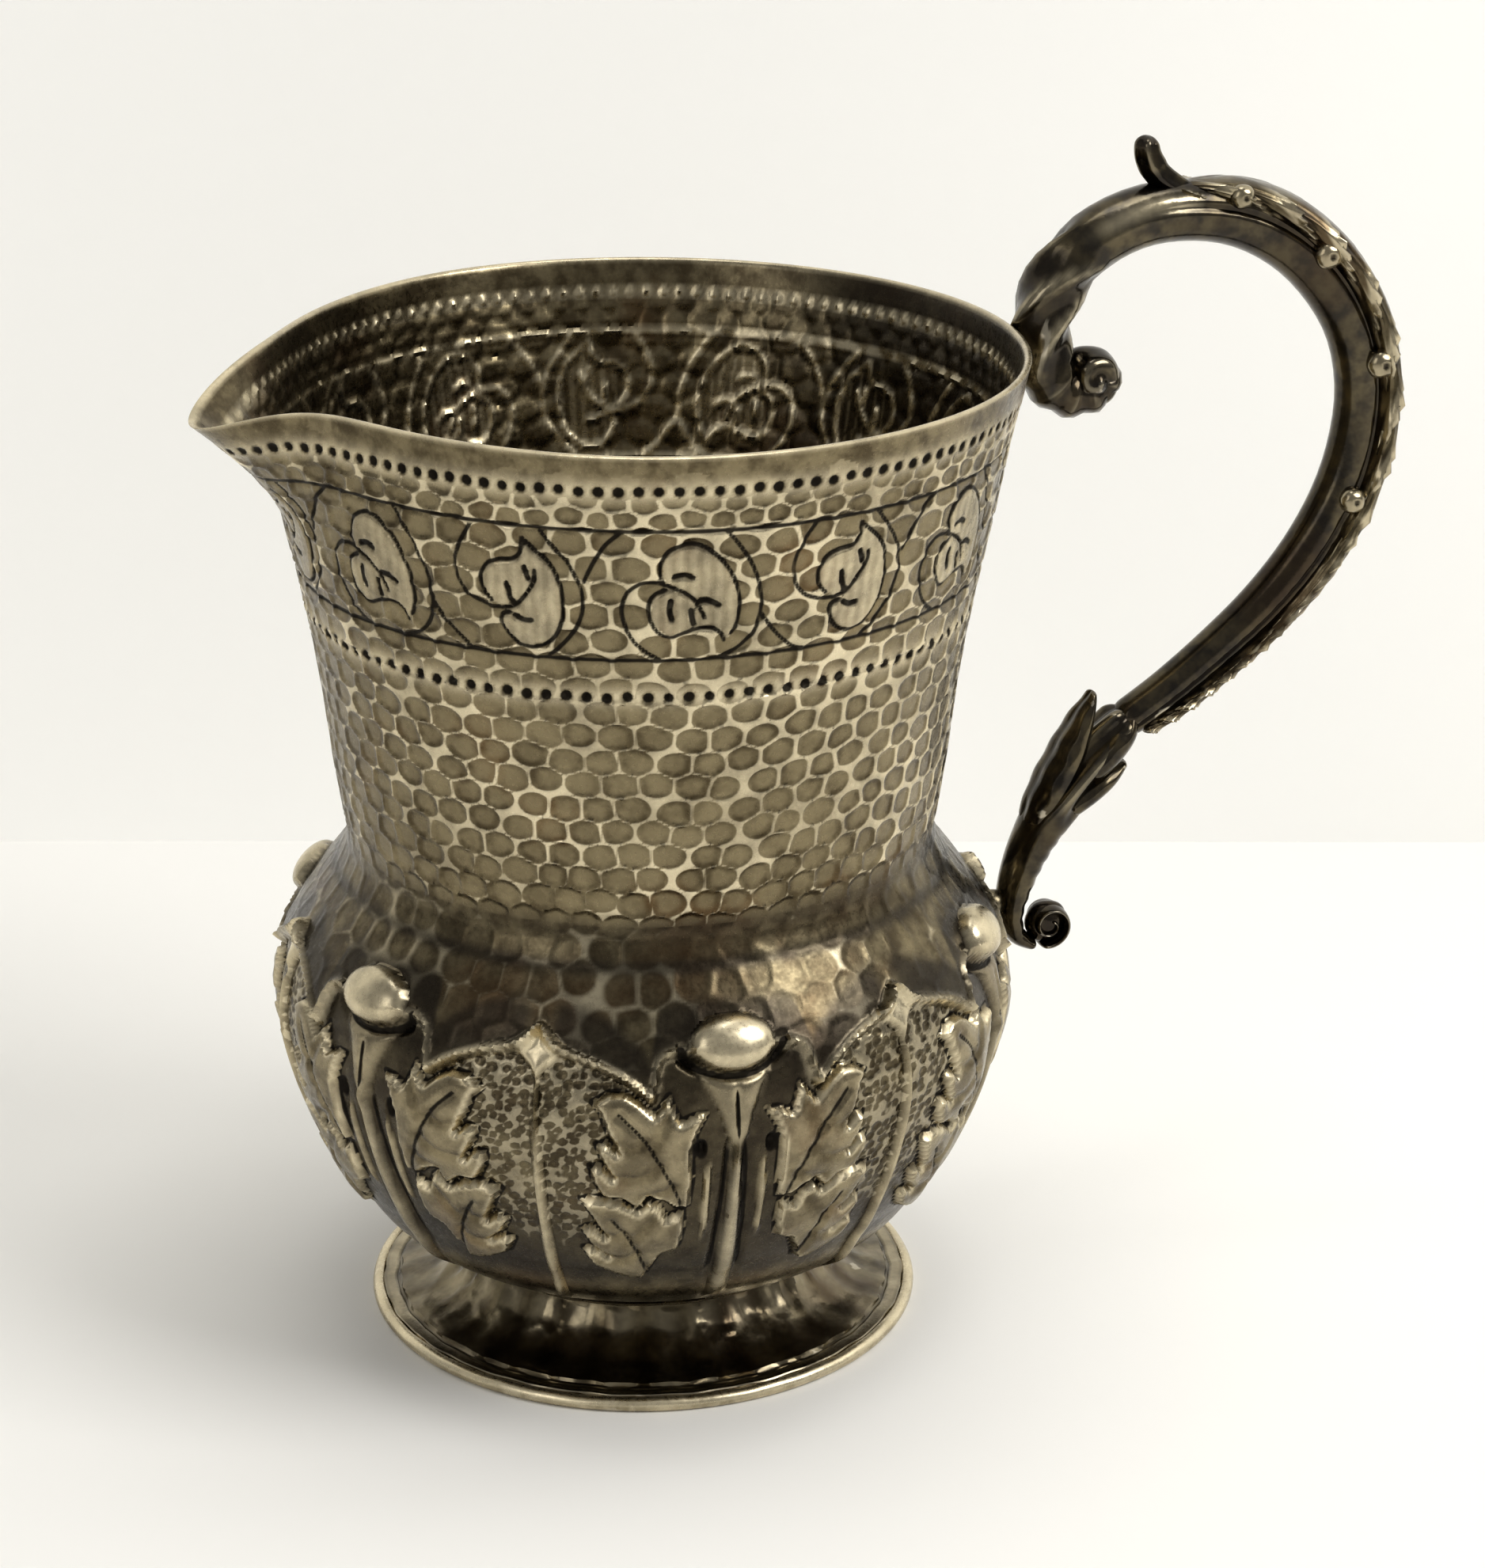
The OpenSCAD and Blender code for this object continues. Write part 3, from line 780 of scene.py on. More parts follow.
def bar(name, stations, rings, sides, relief=None, shine=None):
    """A bar with round ends, swept in the handle's plane.

    Each station is x, z, half thickness and half width. Relief and shine take the length along
    the bar and the angle round it, 0 on the outer side.
    """
    deselect()
    bpy.ops.mesh.primitive_cylinder_add(vertices=sides, radius=1, depth=1, location=(0, 0, 0.5),
                                        end_fill_type="TRIFAN")
    obj = bpy.context.object
    obj.name = name
    obj.data.name = name
    bpy.ops.object.transform_apply(location=True, rotation=True, scale=True)
    mesh = obj.data
    bpy.ops.object.mode_set(mode="EDIT")
    bpy.ops.mesh.select_mode(type="EDGE")
    bpy.ops.mesh.select_all(action="DESELECT")
    bpy.ops.object.mode_set(mode="OBJECT")
    for edge in mesh.edges:
        a, b = (mesh.vertices[i].co for i in edge.vertices)
        edge.select = abs(a.z - b.z) > 0.5
    bpy.ops.object.mode_set(mode="EDIT")
    bpy.ops.mesh.subdivide(number_cuts=rings - 1)
    bpy.ops.object.mode_set(mode="OBJECT")
    co = coordinates(mesh)
    phi = np.arctan2(co[:, 1], co[:, 0])
    rim = np.hypot(co[:, 0], co[:, 1])
    line = smooth_curve(stations, 10)
    run = np.concatenate([[0], np.cumsum(np.hypot(*np.diff(line[:, :2], axis=0).T))])
    total = run[-1]
    # rings lie closer together towards both ends
    t = co[:, 2] - 0.115 * np.sin(2 * math.pi * co[:, 2])
    s = t * total
    px, pz, half_a, half_b = (np.interp(s, run, line[:, k]) for k in range(4))
    ahead = [np.interp(np.minimum(s + 0.15, total), run, line[:, k]) for k in range(2)]
    back = [np.interp(np.maximum(s - 0.15, 0), run, line[:, k]) for k in range(2)]
    tx, tz = ahead[0] - back[0], ahead[1] - back[1]
    norm = np.hypot(tx, tz)
    tx, tz = tx / norm, tz / norm
    shrink = np.ones(len(s))
    for gap, size in ((s, line[0, 2]), (total - s, line[-1, 2])):
        u = np.clip(1 - gap / max(size, 0.3), 0, 1)
        shrink = np.minimum(shrink, np.sqrt(np.clip(1 - u * u, 0, 1)))
    lift = relief(s, np.degrees(phi)) if relief else np.zeros(len(s))
    lift = lift * shrink * rim
    c, sn = np.cos(phi) * rim * shrink, np.sin(phi) * rim * shrink
    out_a = half_a * c + lift * np.cos(phi)
    out_b = half_b * sn + lift * np.sin(phi)
    rows = np.stack([px - tz * out_a, out_b, pz + tx * out_a], 1)
    put_coordinates(mesh, rows * MM)
    paint(mesh, "relief", lift)
    paint(mesh, "polish_and_highlight", shine(s, np.degrees(phi)) if shine else np.zeros(len(s)))
    activate(obj)
    bpy.ops.object.mode_set(mode="EDIT")
    bpy.ops.mesh.select_all(action="SELECT")
    bpy.ops.mesh.remove_doubles(threshold=1e-6)
    bpy.ops.mesh.normals_make_consistent(inside=False)
    bpy.ops.object.mode_set(mode="OBJECT")
    return obj


def ball(name, place, radii, polish_and_highlight=0.0, segments=32):
    """A slightly uneven bead."""
    deselect()
    bpy.ops.mesh.primitive_uv_sphere_add(segments=segments, ring_count=segments // 2, radius=1)
    obj = bpy.context.object
    obj.name = name
    obj.data.name = name
    co = coordinates(obj.data)
    co *= (1 + 0.03 * np.sin(co[:, 0] * 5 + 1) * np.cos(co[:, 2] * 4))[:, None]
    put_coordinates(obj.data, (co * np.array(radii) + np.array(place)) * MM)
    paint(obj.data, "relief", co[:, 2] * 0.1)
    paint(obj.data, "polish_and_highlight", np.full(len(co), polish_and_highlight))
    return obj


def join(name, pieces):
    """Join loose pieces of one casting into one object."""
    deselect()
    for piece in pieces:
        piece.select_set(True)
    bpy.context.view_layer.objects.active = pieces[0]
    bpy.ops.object.join()
    obj = bpy.context.object
    obj.name = name
    obj.data.name = name
    return obj


# ---------------------------------------------------------------- materials

def add(tree, kind, inputs=None, **settings):
    """Add a node, set it up, and link or fill its inputs."""
    made = tree.nodes.new(kind)
    for key, value in settings.items():
        setattr(made, key, value)
    for key, value in (inputs or {}).items():
        if isinstance(value, bpy.types.NodeSocket):
            tree.links.new(value, made.inputs[key])
        else:
            made.inputs[key].default_value = value
    return made


def maths(tree, operation, a, b=0.5, clamp=False):
    """A number worked out from one or two others."""
    return add(tree, "ShaderNodeMath", {0: a, 1: b}, operation=operation,
               use_clamp=clamp).outputs[0]


def remap(tree, value, low, high, start=0.0, end=1.0):
    """A smooth step of a value."""
    return add(tree, "ShaderNodeMapRange", {"Value": value, "From Min": low, "From Max": high,
                                            "To Min": start, "To Max": end},
               interpolation_type="SMOOTHSTEP").outputs["Result"]


def blend(tree, factor, a, b):
    """One colour laid over another."""
    made = tree.nodes.new("ShaderNodeMix")
    made.data_type = "RGBA"
    for index, value in ((0, factor), (6, a), (7, b)):
        if isinstance(value, bpy.types.NodeSocket):
            tree.links.new(value, made.inputs[index])
        else:
            made.inputs[index].default_value = value
    return made.outputs[2]


def reading(tree, name):
    """A number stored on the mesh."""
    return add(tree, "ShaderNodeAttribute", attribute_name=name).outputs["Fac"]


def speckle(tree, vector, scale, detail=3.0, roughness=0.55):
    """Noise from 0 to 1 at so many spots per metre."""
    return add(tree, "ShaderNodeTexNoise", {"Vector": vector, "Scale": scale, "Detail": detail,
                                            "Roughness": roughness}).outputs["Fac"]


def rgba(value, gain=1.0):
    """A stored colour as a socket value."""
    return (value[0] * gain, value[1] * gain, value[2] * gain, 1.0)


def tarnish_group(finish):
    """Tarnished silver from the marks on the mesh, with the painted shade, shadow lines and
    highlight that they carry: its colour, roughness and fine height.
    """
    group = bpy.data.node_groups.new("tarnished_silver", "ShaderNodeTree")
    for name, kind in (("Base", "NodeSocketColor"), ("Web", "NodeSocketFloat"),
                       ("Cut", "NodeSocketFloat"), ("Polish_and_highlight", "NodeSocketFloat"),
                       ("Dark", "NodeSocketFloat"), ("Tone", "NodeSocketFloat"),
                       ("Gloss", "NodeSocketFloat")):
        group.interface.new_socket(name, in_out="INPUT", socket_type=kind)
    for name, kind in (("Color", "NodeSocketColor"), ("Roughness", "NodeSocketFloat"),
                       ("Height", "NodeSocketFloat")):
        group.interface.new_socket(name, in_out="OUTPUT", socket_type=kind)
    given = group.nodes.new("NodeGroupInput").outputs
    place = add(group, "ShaderNodeTexCoord").outputs["Object"]
    patches = speckle(group, place, 95.0, 3.0)
    blotch = speckle(group, place, 420.0, 3.0, 0.6)
    fine = speckle(group, place, 2300.0, 3.0, 0.6)
    # patina of uneven thickness
    tint = blend(group, remap(group, blotch, 0.35, 0.68), given["Base"], rgba(finish.worn))
    warm = maths(group, "MULTIPLY", remap(group, patches, 0.52, 0.72), 0.42)
    tint = blend(group, warm, tint, rgba(finish.warm))
    tint = blend(group, remap(group, given["Tone"], 0.55, 1.0, 0.0, 0.4), tint,
                 rgba(finish.worn, 1.3))
    centre = remap(group, given["Web"], 0.45, 1.25, 0.0, 0.5)
    tint = blend(group, centre, tint, rgba(finish.worn, 1.15))
    # the web between two hammer marks is rubbed bright
    web = remap(group, given["Web"], 0.06, 0.27, 1.0, 0.0)
    rub = remap(group, maths(group, "ADD", patches, maths(group, "MULTIPLY", blotch, 0.5)),
                0.5, 0.95, 0.35, 1.0)
    tint = blend(group, maths(group, "MULTIPLY", web, rub), tint, rgba(finish.bright))
    # oxide, and the painted shade that the dark marks carry
    shade = maths(group, "ADD", given["Dark"], maths(group, "MULTIPLY",
                  maths(group, "SUBTRACT", patches, 0.5), 0.9))
    tint = blend(group, remap(group, shade, 0.1, 1.15, 0.0, 0.86), tint, rgba(finish.oxide_and_shade, 2.0))
    scuff = remap(group, blotch, 0.3, 0.75, 0.7, 1.1)
    polish_and_highlight = maths(group, "MULTIPLY", given["Polish_and_highlight"], scuff, True)
    tint = blend(group, polish_and_highlight, tint, rgba(finish.bright, 1.05))
    # grooves hold oxide, and the painted shadow lines beside the leaves darken the same way
    cut = remap(group, maths(group, "ADD", given["Cut"], maths(group, "MULTIPLY",
                maths(group, "SUBTRACT", blotch, 0.5), 0.12)), -0.02, 0.13, 0.96, 0.0)
    tint = blend(group, cut, tint, rgba(finish.oxide_and_shade))
    rough = remap(group, fine, 0.3, 0.7, 0.24, 0.36)
    rough = maths(group, "ADD", rough, maths(group, "MULTIPLY", cut, 0.3))
    rough = maths(group, "MULTIPLY", rough, given["Gloss"])
    height = maths(group, "ADD", maths(group, "MULTIPLY", blotch, 0.7),
                   maths(group, "MULTIPLY", fine, 0.3))
    out = group.nodes.new("NodeGroupOutput").inputs
    group.links.new(tint, out["Color"])
    group.links.new(rough, out["Roughness"])
    group.links.new(height, out["Height"])
    return group


def silver(name, group, base, bump, dark=None, edge=True, gloss=1.0, worn=0.75):
    """A silver material whose marks come from the mesh, with the group's patina.

    With no dark value, all its marks are painted on the mesh, as on the raised body. Otherwise
    it darkens hollows and rubs ridges by the mesh's relief.
    """
    material = bpy.data.materials.new(name)
    material.use_nodes = True
    tree = material.node_tree
    tree.nodes.clear()
    skin = add(tree, "ShaderNodeGroup", node_tree=group)
    skin.inputs["Base"].default_value = rgba(base)
    skin.inputs["Web"].default_value = 0.33
    skin.inputs["Cut"].default_value = 1.0
    skin.inputs["Tone"].default_value = 0.5
    skin.inputs["Gloss"].default_value = gloss
    if dark is None:
        for key in ("Web", "Cut", "Dark", "Tone", "Polish_and_highlight"):
            tree.links.new(reading(tree, key.lower()), skin.inputs[key])
    else:
        ridges = remap(tree, reading(tree, "relief"), 0.08, 0.34, 0.0, worn)
        hollows = remap(tree, reading(tree, "relief"), -0.35, -0.02, 0.9, 0.0)
        tree.links.new(maths(tree, "MAXIMUM", ridges, reading(tree, "polish_and_highlight")),
                       skin.inputs["Polish_and_highlight"])
        tree.links.new(maths(tree, "ADD", hollows, dark), skin.inputs["Dark"])
    tint = skin.outputs["Color"]
    if edge:
        worn_edge = add(tree, "ShaderNodeNewGeometry").outputs["Pointiness"]
        tint = blend(tree, remap(tree, worn_edge, 0.47, 0.42, 0.0, 0.6), tint,
                     (0.02, 0.017, 0.013, 1))
        tint = blend(tree, remap(tree, worn_edge, 0.53, 0.60, 0.0, 0.55), tint,
                     (0.62, 0.56, 0.44, 1))
    bumped = add(tree, "ShaderNodeBump", {"Height": skin.outputs["Height"], "Strength": bump,
                                          "Distance": 0.00006})
    shader = add(tree, "ShaderNodeBsdfPrincipled", {
        "Base Color": tint, "Roughness": skin.outputs["Roughness"],
        "Normal": bumped.outputs["Normal"]})
    shader.inputs["Metallic"].default_value = 1.0
    target = tree.nodes.new("ShaderNodeOutputMaterial")
    tree.links.new(shader.outputs["BSDF"], target.inputs["Surface"])
    return material


def matte(name, tint, one_sided=False, glow=0.0):
    """Plain matt paper for the stage, which can also glow with painted light; a one-sided sheet
    can't be seen from behind.
    """
    material = bpy.data.materials.new(name)
    material.use_nodes = True
    tree = material.node_tree
    tree.nodes.clear()
    shader = add(tree, "ShaderNodeBsdfPrincipled")
    shader.inputs["Base Color"].default_value = rgba(tint)
    shader.inputs["Roughness"].default_value = 0.75
    shader.inputs["Emission Color"].default_value = rgba(tint)
    shader.inputs["Emission Strength"].default_value = glow
    result = shader.outputs["BSDF"]
    if one_sided:
        clear = add(tree, "ShaderNodeBsdfTransparent")
        back = add(tree, "ShaderNodeNewGeometry").outputs["Backfacing"]
        result = add(tree, "ShaderNodeMixShader", {0: back, 1: result,
                                                   2: clear.outputs[0]}).outputs[0]
    target = tree.nodes.new("ShaderNodeOutputMaterial")
    tree.links.new(result, target.inputs["Surface"])
    return material


# ---------------------------------------------------------------- operators

class JUG_OT_materials(Operator):
    """Make the silver materials"""
    bl_idname = "cream_jug.materials"
    bl_label = "Silver materials"
    bl_options = {"REGISTER", "UNDO"}

    def execute(self, context):
        finish = context.scene.jug_finish
        group = tarnish_group(finish)
        silver("look_raised_silver", group, finish.patina, 0.5, edge=False)
        silver("look_foot_silver", group, finish.patina, 0.3, dark=0.62, gloss=0.72)
        silver("look_wire_silver", group, finish.wire, 0.4, dark=0.02)
        silver("look_cast_silver", group, finish.cast, 0.4, dark=0.8, gloss=0.6, worn=0.3)
        silver("look_vine_silver", group, finish.patina, 0.5, dark=0.55, gloss=0.75, worn=0.6)
        silver("look_solder", group, finish.oxide_and_shade, 0.9, dark=0.55)
        return {"FINISHED"}


class JUG_OT_body(Operator):
    """Raise the body in rings: two for the chased bowl, one for the neck, one for the frieze"""
    bl_idname = "cream_jug.body"
    bl_label = "Raised body"
    bl_options = {"REGISTER", "UNDO"}

    def execute(self, context):
        shape = context.scene.jug_shape
        wall = shape.wall / MM
        rings = (
            ("bowl_lower", lower_outline(wall), False),
            ("bowl_upper", ring_outline(SPLIT_LEAVES, SPLIT_WAIST, 0.262, 0.8, wall), True),
            ("neck", ring_outline(SPLIT_WAIST, SPLIT_FRIEZE, 0.25, 0.8, wall), True),
            ("frieze_and_lip", rim_outline(wall), True),
        )
        for name, outline, closed in rings:
            ring = revolve(name, outline, shape.columns, closed)
            raise_piece(ring, shape)
            finish_piece(ring, BODY_NODE, "raised_silver", angle=40)
        return {"FINISHED"}


# Where the foot's trumpet meets its flange, and where the flange's groove and its rubbed
# band run
FLARE_R = 21.3
GROOVE_R = 21.72
BAND_R = 22.3


def foot_trumpet():
    """The hammered trumpet with its stepped flange."""
    flare = smooth_curve([(BASE_R, BASE_Z - 0.02), (15.8, 5.4), (16.9, 3.6), (18.9, 2.2),
                          (FLARE_R, 1.5)], 9)
    inner = [(r - 0.8, z - 0.35) for r, z in flare[::-1]]
    flange = [(21.45, 1.46), (21.55, 1.2), (21.72, 1.12), (21.9, 1.2), (22.05, 1.24),
              (22.6, 1.24), (22.9, 1.2), (22.98, 1.1), (22.98, 0.1), (22.9, 0.0),
              (21.9, 0.0), (21.8, 0.08), (21.6, 0.8)]
    outline = [tuple(p) for p in flare] + flange + [p for p in inner if p[0] < FLARE_R]
    foot = revolve("foot_trumpet", outline, 300, True)
    co, theta, r = polar(foot.data)
    z = co[:, 2].copy()
    free = ramp(z, 0.2, 1.2) * (1 - ramp(z, 5.0, 5.8))
    waver = free * (0.05 * np.sin(theta * 23 + z * 2) + 0.035 * np.sin(theta * 41 + 1))
    dent, _, lean = hammer(np.degrees(theta), r + z * 0.6, 19.0, 46, 2.4, 0.5, 51)
    waver += free * (z > 1.3) * (0.06 - 0.13 * ramp(dent, 0.0, 0.7) + 0.2 * lean)
    co[:, :2] *= ((r + waver) / r)[:, None]
    put_coordinates(foot.data, co * MM)
    on_top = z > 0.9
    groove = np.exp(-((r - GROOVE_R) / 0.16) ** 2) * on_top
    paint(foot.data, "relief", 0.3 * np.exp(-((r - BAND_R) / 0.3) ** 2) * on_top - 0.3 * groove)
    paint(foot.data, "polish_and_highlight", 0.55 * np.exp(-((r - BAND_R) / 0.35) ** 2) * on_top
          + 0.2 * (0.5 + 0.5 * np.sin(theta * 29 + 2)) * free)
    return foot


def foot_edge_wire():
    """The round wire along the flange, a little dented on top."""
    turn = np.linspace(0, math.tau, 25)[:-1]
    centre = WIRE_HIGH[0] / MM - 0.58
    ring = [(max(centre + 0.6 * math.cos(t), 23.0), max(0.56 + 0.6 * math.sin(t), 0.0))
            for t in turn]
    wire = revolve("foot_edge_wire", ring, 288, True)
    co, theta, _ = polar(wire.data)
    dented = co[:, 2] + 0.03 * np.sin(theta * 13) + 0.02 * np.sin(theta * 31)
    co[:, 2] = np.where(co[:, 2] > 0.5, dented, co[:, 2])
    put_coordinates(wire.data, co * MM)
    paint(wire.data, "relief", np.zeros(len(co)))
    rubbed = 0.35 + 0.4 * (co[:, 2] > 0.6) + 0.2 * np.sin(theta * 17)
    paint(wire.data, "polish_and_highlight", np.clip(rubbed, 0, 1))
    return wire


def foot_seam():
    """The solder that runs round between the bowl and the foot."""
    seam = revolve("foot_seam", [(15.55, 6.5), (15.75, 6.42), (16.1, 6.3), (16.35, 6.12),
                                 (16.3, 5.95), (16.0, 5.8), (15.82, 5.7), (15.6, 5.7)],
                   240, True)
    co, theta, r = polar(seam.data)
    lump = 0.05 * np.sin(theta * 19 + 1) + 0.05 * np.sin(theta * 47)
    co[:, :2] *= (1 + np.where(r > 15.7, lump, 0) / r)[:, None]
    put_coordinates(seam.data, co * MM)
    paint(seam.data, "relief", np.zeros(len(co)))
    paint(seam.data, "polish_and_highlight", np.zeros(len(co)))
    return seam


class JUG_OT_foot(Operator):
    """Make the trumpet foot, its edge wire and the solder seam"""
    bl_idname = "cream_jug.foot"
    bl_label = "Foot"
    bl_options = {"REGISTER", "UNDO"}

    def execute(self, context):
        finish_piece(foot_trumpet(), "foot", "foot_silver", angle=35)
        finish_piece(foot_edge_wire(), "foot_wire", "wire_silver")
        finish_piece(foot_seam(), "foot_solder", "solder")
        return {"FINISHED"}


# Stations of the handle's bars: x, z, half thickness and half width
ARCH = [
    (40.5, 81.3, 0.7, 1.1), (41.2, 79.7, 1.2, 1.7), (39.9, 78.4, 1.75, 2.2), (37.6, 78.4, 2.1, 2.4),
    (35.7, 80.3, 2.45, 2.55), (35.0, 83.6, 2.6, 2.6),
    (36.1, 87.4, 2.6, 2.6), (39.1, 90.9, 2.6, 2.6), (43.4, 92.9, 2.6, 2.6), (48.2, 93.3, 2.6, 2.6),
    (53.0, 92.4, 2.6, 2.6), (57.6, 90.0, 2.6, 2.6), (61.3, 86.4, 2.5, 2.5), (64.0, 82.0, 2.4, 2.4),
    (65.2, 77.0, 2.35, 2.35), (64.9, 72.0, 2.3, 2.3), (63.4, 67.0, 2.25, 2.2),
    (60.6, 62.1, 2.15, 2.1), (56.8, 57.7, 2.0, 2.0), (52.4, 53.9, 1.85, 1.85),
    (47.9, 50.5, 1.75, 1.75), (43.4, 47.6, 1.7, 1.7),
]
VINE = [
    (46.6, 95.4, 0.3, 0.8), (50.0, 95.1, 0.9, 1.8), (54.1, 94.1, 1.4, 2.5), (58.8, 91.5, 1.6, 2.7),
    (62.9, 87.5, 1.6, 2.7), (65.7, 82.6, 1.6, 2.65), (66.95, 77.2, 1.5, 2.6),
    (66.65, 71.5, 1.5, 2.5), (65.0, 66.1, 1.45, 2.3), (62.1, 60.8, 1.3, 2.1),
    (58.1, 56.2, 1.15, 1.9), (53.5, 52.3, 1.05, 1.75), (49.1, 49.1, 0.95, 1.6),
    (45.6, 47.2, 0.8, 1.3),
]
# Berry places along the vine: x, z, size and the side it sits on
BERRIES = [
    (51.9, 94.4, 1.05, -1), (60.1, 88.9, 1.25, -1), (65.7, 79.0, 1.3, -1), (63.8, 66.9, 1.15, -1),
    (56.4, 92.3, 1.1, 1), (63.6, 84.3, 1.15, 1), (65.9, 72.8, 1.1, 1), (61.3, 61.4, 0.9, 1),
]
SPUR = [
    (49.2, 94.6, 0.5, 0.9), (46.9, 95.4, 1.0, 1.2), (45.3, 96.5, 1.1, 1.2), (44.4, 97.8, 1.0, 1.1),
    (44.1, 98.9, 0.9, 1.0), (44.2, 99.85, 0.8, 0.9),
]
LEG = [
    (44.6, 48.9, 1.5, 1.9), (42.6, 46.9, 1.8, 2.1), (39.9, 43.9, 2.0, 2.5), (37.4, 40.4, 2.1, 2.6),
    (35.6, 37.2, 1.8, 2.3), (34.4, 34.0, 1.5, 2.0), (33.9, 31.2, 1.15, 1.8), (34.5, 29.0, 0.85, 1.7),
    (36.2, 27.9, 0.55, 1.65),
]
LEAF_TIP = [(35.4, 38.8, 1.1, 1.7), (37.0, 42.0, 1.6, 2.4), (38.7, 45.4, 1.55, 2.4),
            (39.9, 48.2, 1.15, 1.9), (40.8, 50.3, 0.6, 1.1), (41.1, 51.2, 0.3, 0.6)]
LEAF_LOBES = [
    [(40.0, 43.4, 1.3, 2.4), (42.2, 45.6, 1.6, 2.7), (44.0, 47.5, 1.25, 2.3),
     (44.9, 49.4, 0.4, 1.0)],
    [(38.4, 40.3, 1.0, 2.1), (40.6, 42.1, 1.3, 2.5), (42.6, 43.3, 1.0, 2.1),
     (44.4, 44.3, 0.3, 0.8)],
]
SCROLL_EYE = (37.4, 29.8)
SCROLL_RADIUS = 2.4


CURL_EYE = (39.55, 0.0, 79.65)
# The vine's leaves are long and wide to this length along it, then short and narrow
VINE_CHANGE = 42.0
VINE_PROUD = 1.13


def arch_relief(s, phi):
    """A ridged curl, twisted leaves by the rim, then a plain tube with a grooved flank."""
    side = abs(wrap(phi, 360))
    coil = 0.2 * np.cos(s * 3.4 + np.radians(phi)) * (1 - ramp(s, 8.5, 11.0))
    leaf_end = 17.5 + 2.5 * np.cos(np.radians(phi * 3))
    start = ramp(s, 8.0, 10.5) * (1 - ramp(s, leaf_end, 21.5))
    turn = 0.5 + 0.5 * np.cos(np.radians(phi + s * 15) * 4)
    leaf = 0.62 * turn ** 1.8 - 0.34
    groove = -0.3 * np.exp(-((side - 74) / 6.0) ** 2) * ramp(s, 24, 31)
    return coil + leaf * start + groove


def arch_shine(s, phi):
    """A painted highlight along the top of the arch, and the rubbed crests of its twisted leaves."""
    # painted highlight along the upper flanks of the arch, standing in for the lamps' glint
    rubbed = 0.75 * ramp(s, 20.5, 24) * (1 - ramp(s, 28, 31))
    rubbed = rubbed * np.exp(-((abs(phi) - 62) / 15) ** 2)
    crest = np.exp(-(wrap(phi + s * 15 - 8, 90) / 9) ** 2)
    crest = crest * ramp(s, 9, 12) * (1 - ramp(s, 17, 20))
    return np.clip(rubbed + 0.5 * crest, 0, 1)


def vine_part(s, phi):
    """How far a place lies across its leaf, from 0 at one edge to 1 at the next."""
    cell = np.where(s < VINE_CHANGE, s / 5.4, VINE_CHANGE / 5.4 + (s - VINE_CHANGE) / 2.0)
    cell = cell - abs(phi) / 78.0 + np.where(phi > 0, 0.5, 0.0)
    return cell - np.floor(cell)


def vine_relief(s, phi):
    """Leaves laid over each other along the back, each with a raised edge and veins."""
    away = abs(phi)
    part = vine_part(s, phi)
    fold = (0.9 - 0.35 * ramp(s, 40, 48)) * part ** 1.7
    edge = 0.24 * np.exp(-((part - 0.93) / 0.07) ** 2)
    veins = 0.14 * np.cos((away - 40 * part) * 0.21) * (1 - part) * ramp(part, 0.05, 0.3)
    face = (1 - ramp(away, 105, 132)) * (0.06 + 0.94 * ramp(away, 40, 74))
    low = 0.36 - 0.24 * ramp(away, 55, 90)
    return face * (fold + edge + veins - low)


def vine_shine(s, phi):
    """The raised edge of each fold is rubbed bright."""
    away = abs(phi)
    flank = ramp(away, 30, 55) * (1 - ramp(away, 110, 130))
    return 0.6 * ramp(vine_part(s, phi), 0.68, 0.9) * flank


def spur_relief(s, phi):
    """Five flutes and a thicker tip."""
    return 0.09 * np.cos(np.radians(phi * 5)) + 0.12 * ramp(s, 4.6, 5.6)


def leg_relief(s, phi):
    """Leaf ribs on the sleeve that run out into small rings down the leg."""
    ribs = 0.26 * (1 - ramp(s, 9, 13)) * np.cos(np.radians(phi * 5) + s * 0.25)
    rings = 0.05 * ramp(s, 11, 13) * np.cos(s * 4.2) * np.exp(-((abs(phi) - 40) / 60) ** 2)
    return ribs + rings


def leaf_relief(s, phi):
    """A midrib groove and side veins."""
    side = abs(wrap(phi, 360))
    rib = -0.2 * np.exp(-(wrap(side - 180, 360) / 14) ** 2) - 0.2 * np.exp(-(side / 14) ** 2)
    return rib + 0.05 * np.cos(s * 2.1 + side * 0.05) * (side < 90)


def snail_curl():
    """The ball that closes the arch's curl, with a spiral ridge on both sides."""
    eye = np.array(CURL_EYE)
    snail = ball("curl", CURL_EYE, (2.65, 2.45, 2.75), segments=72)
    co = coordinates(snail.data) / MM - eye
    swirl = np.cos(np.arctan2(co[:, 2], co[:, 0]) + np.hypot(co[:, 0], co[:, 2]) * 3.0)
    co *= (1 + 0.07 * swirl)[:, None]
    put_coordinates(snail.data, (co + eye) * MM)
    paint(snail.data, "relief", 0.24 * swirl)
    return snail


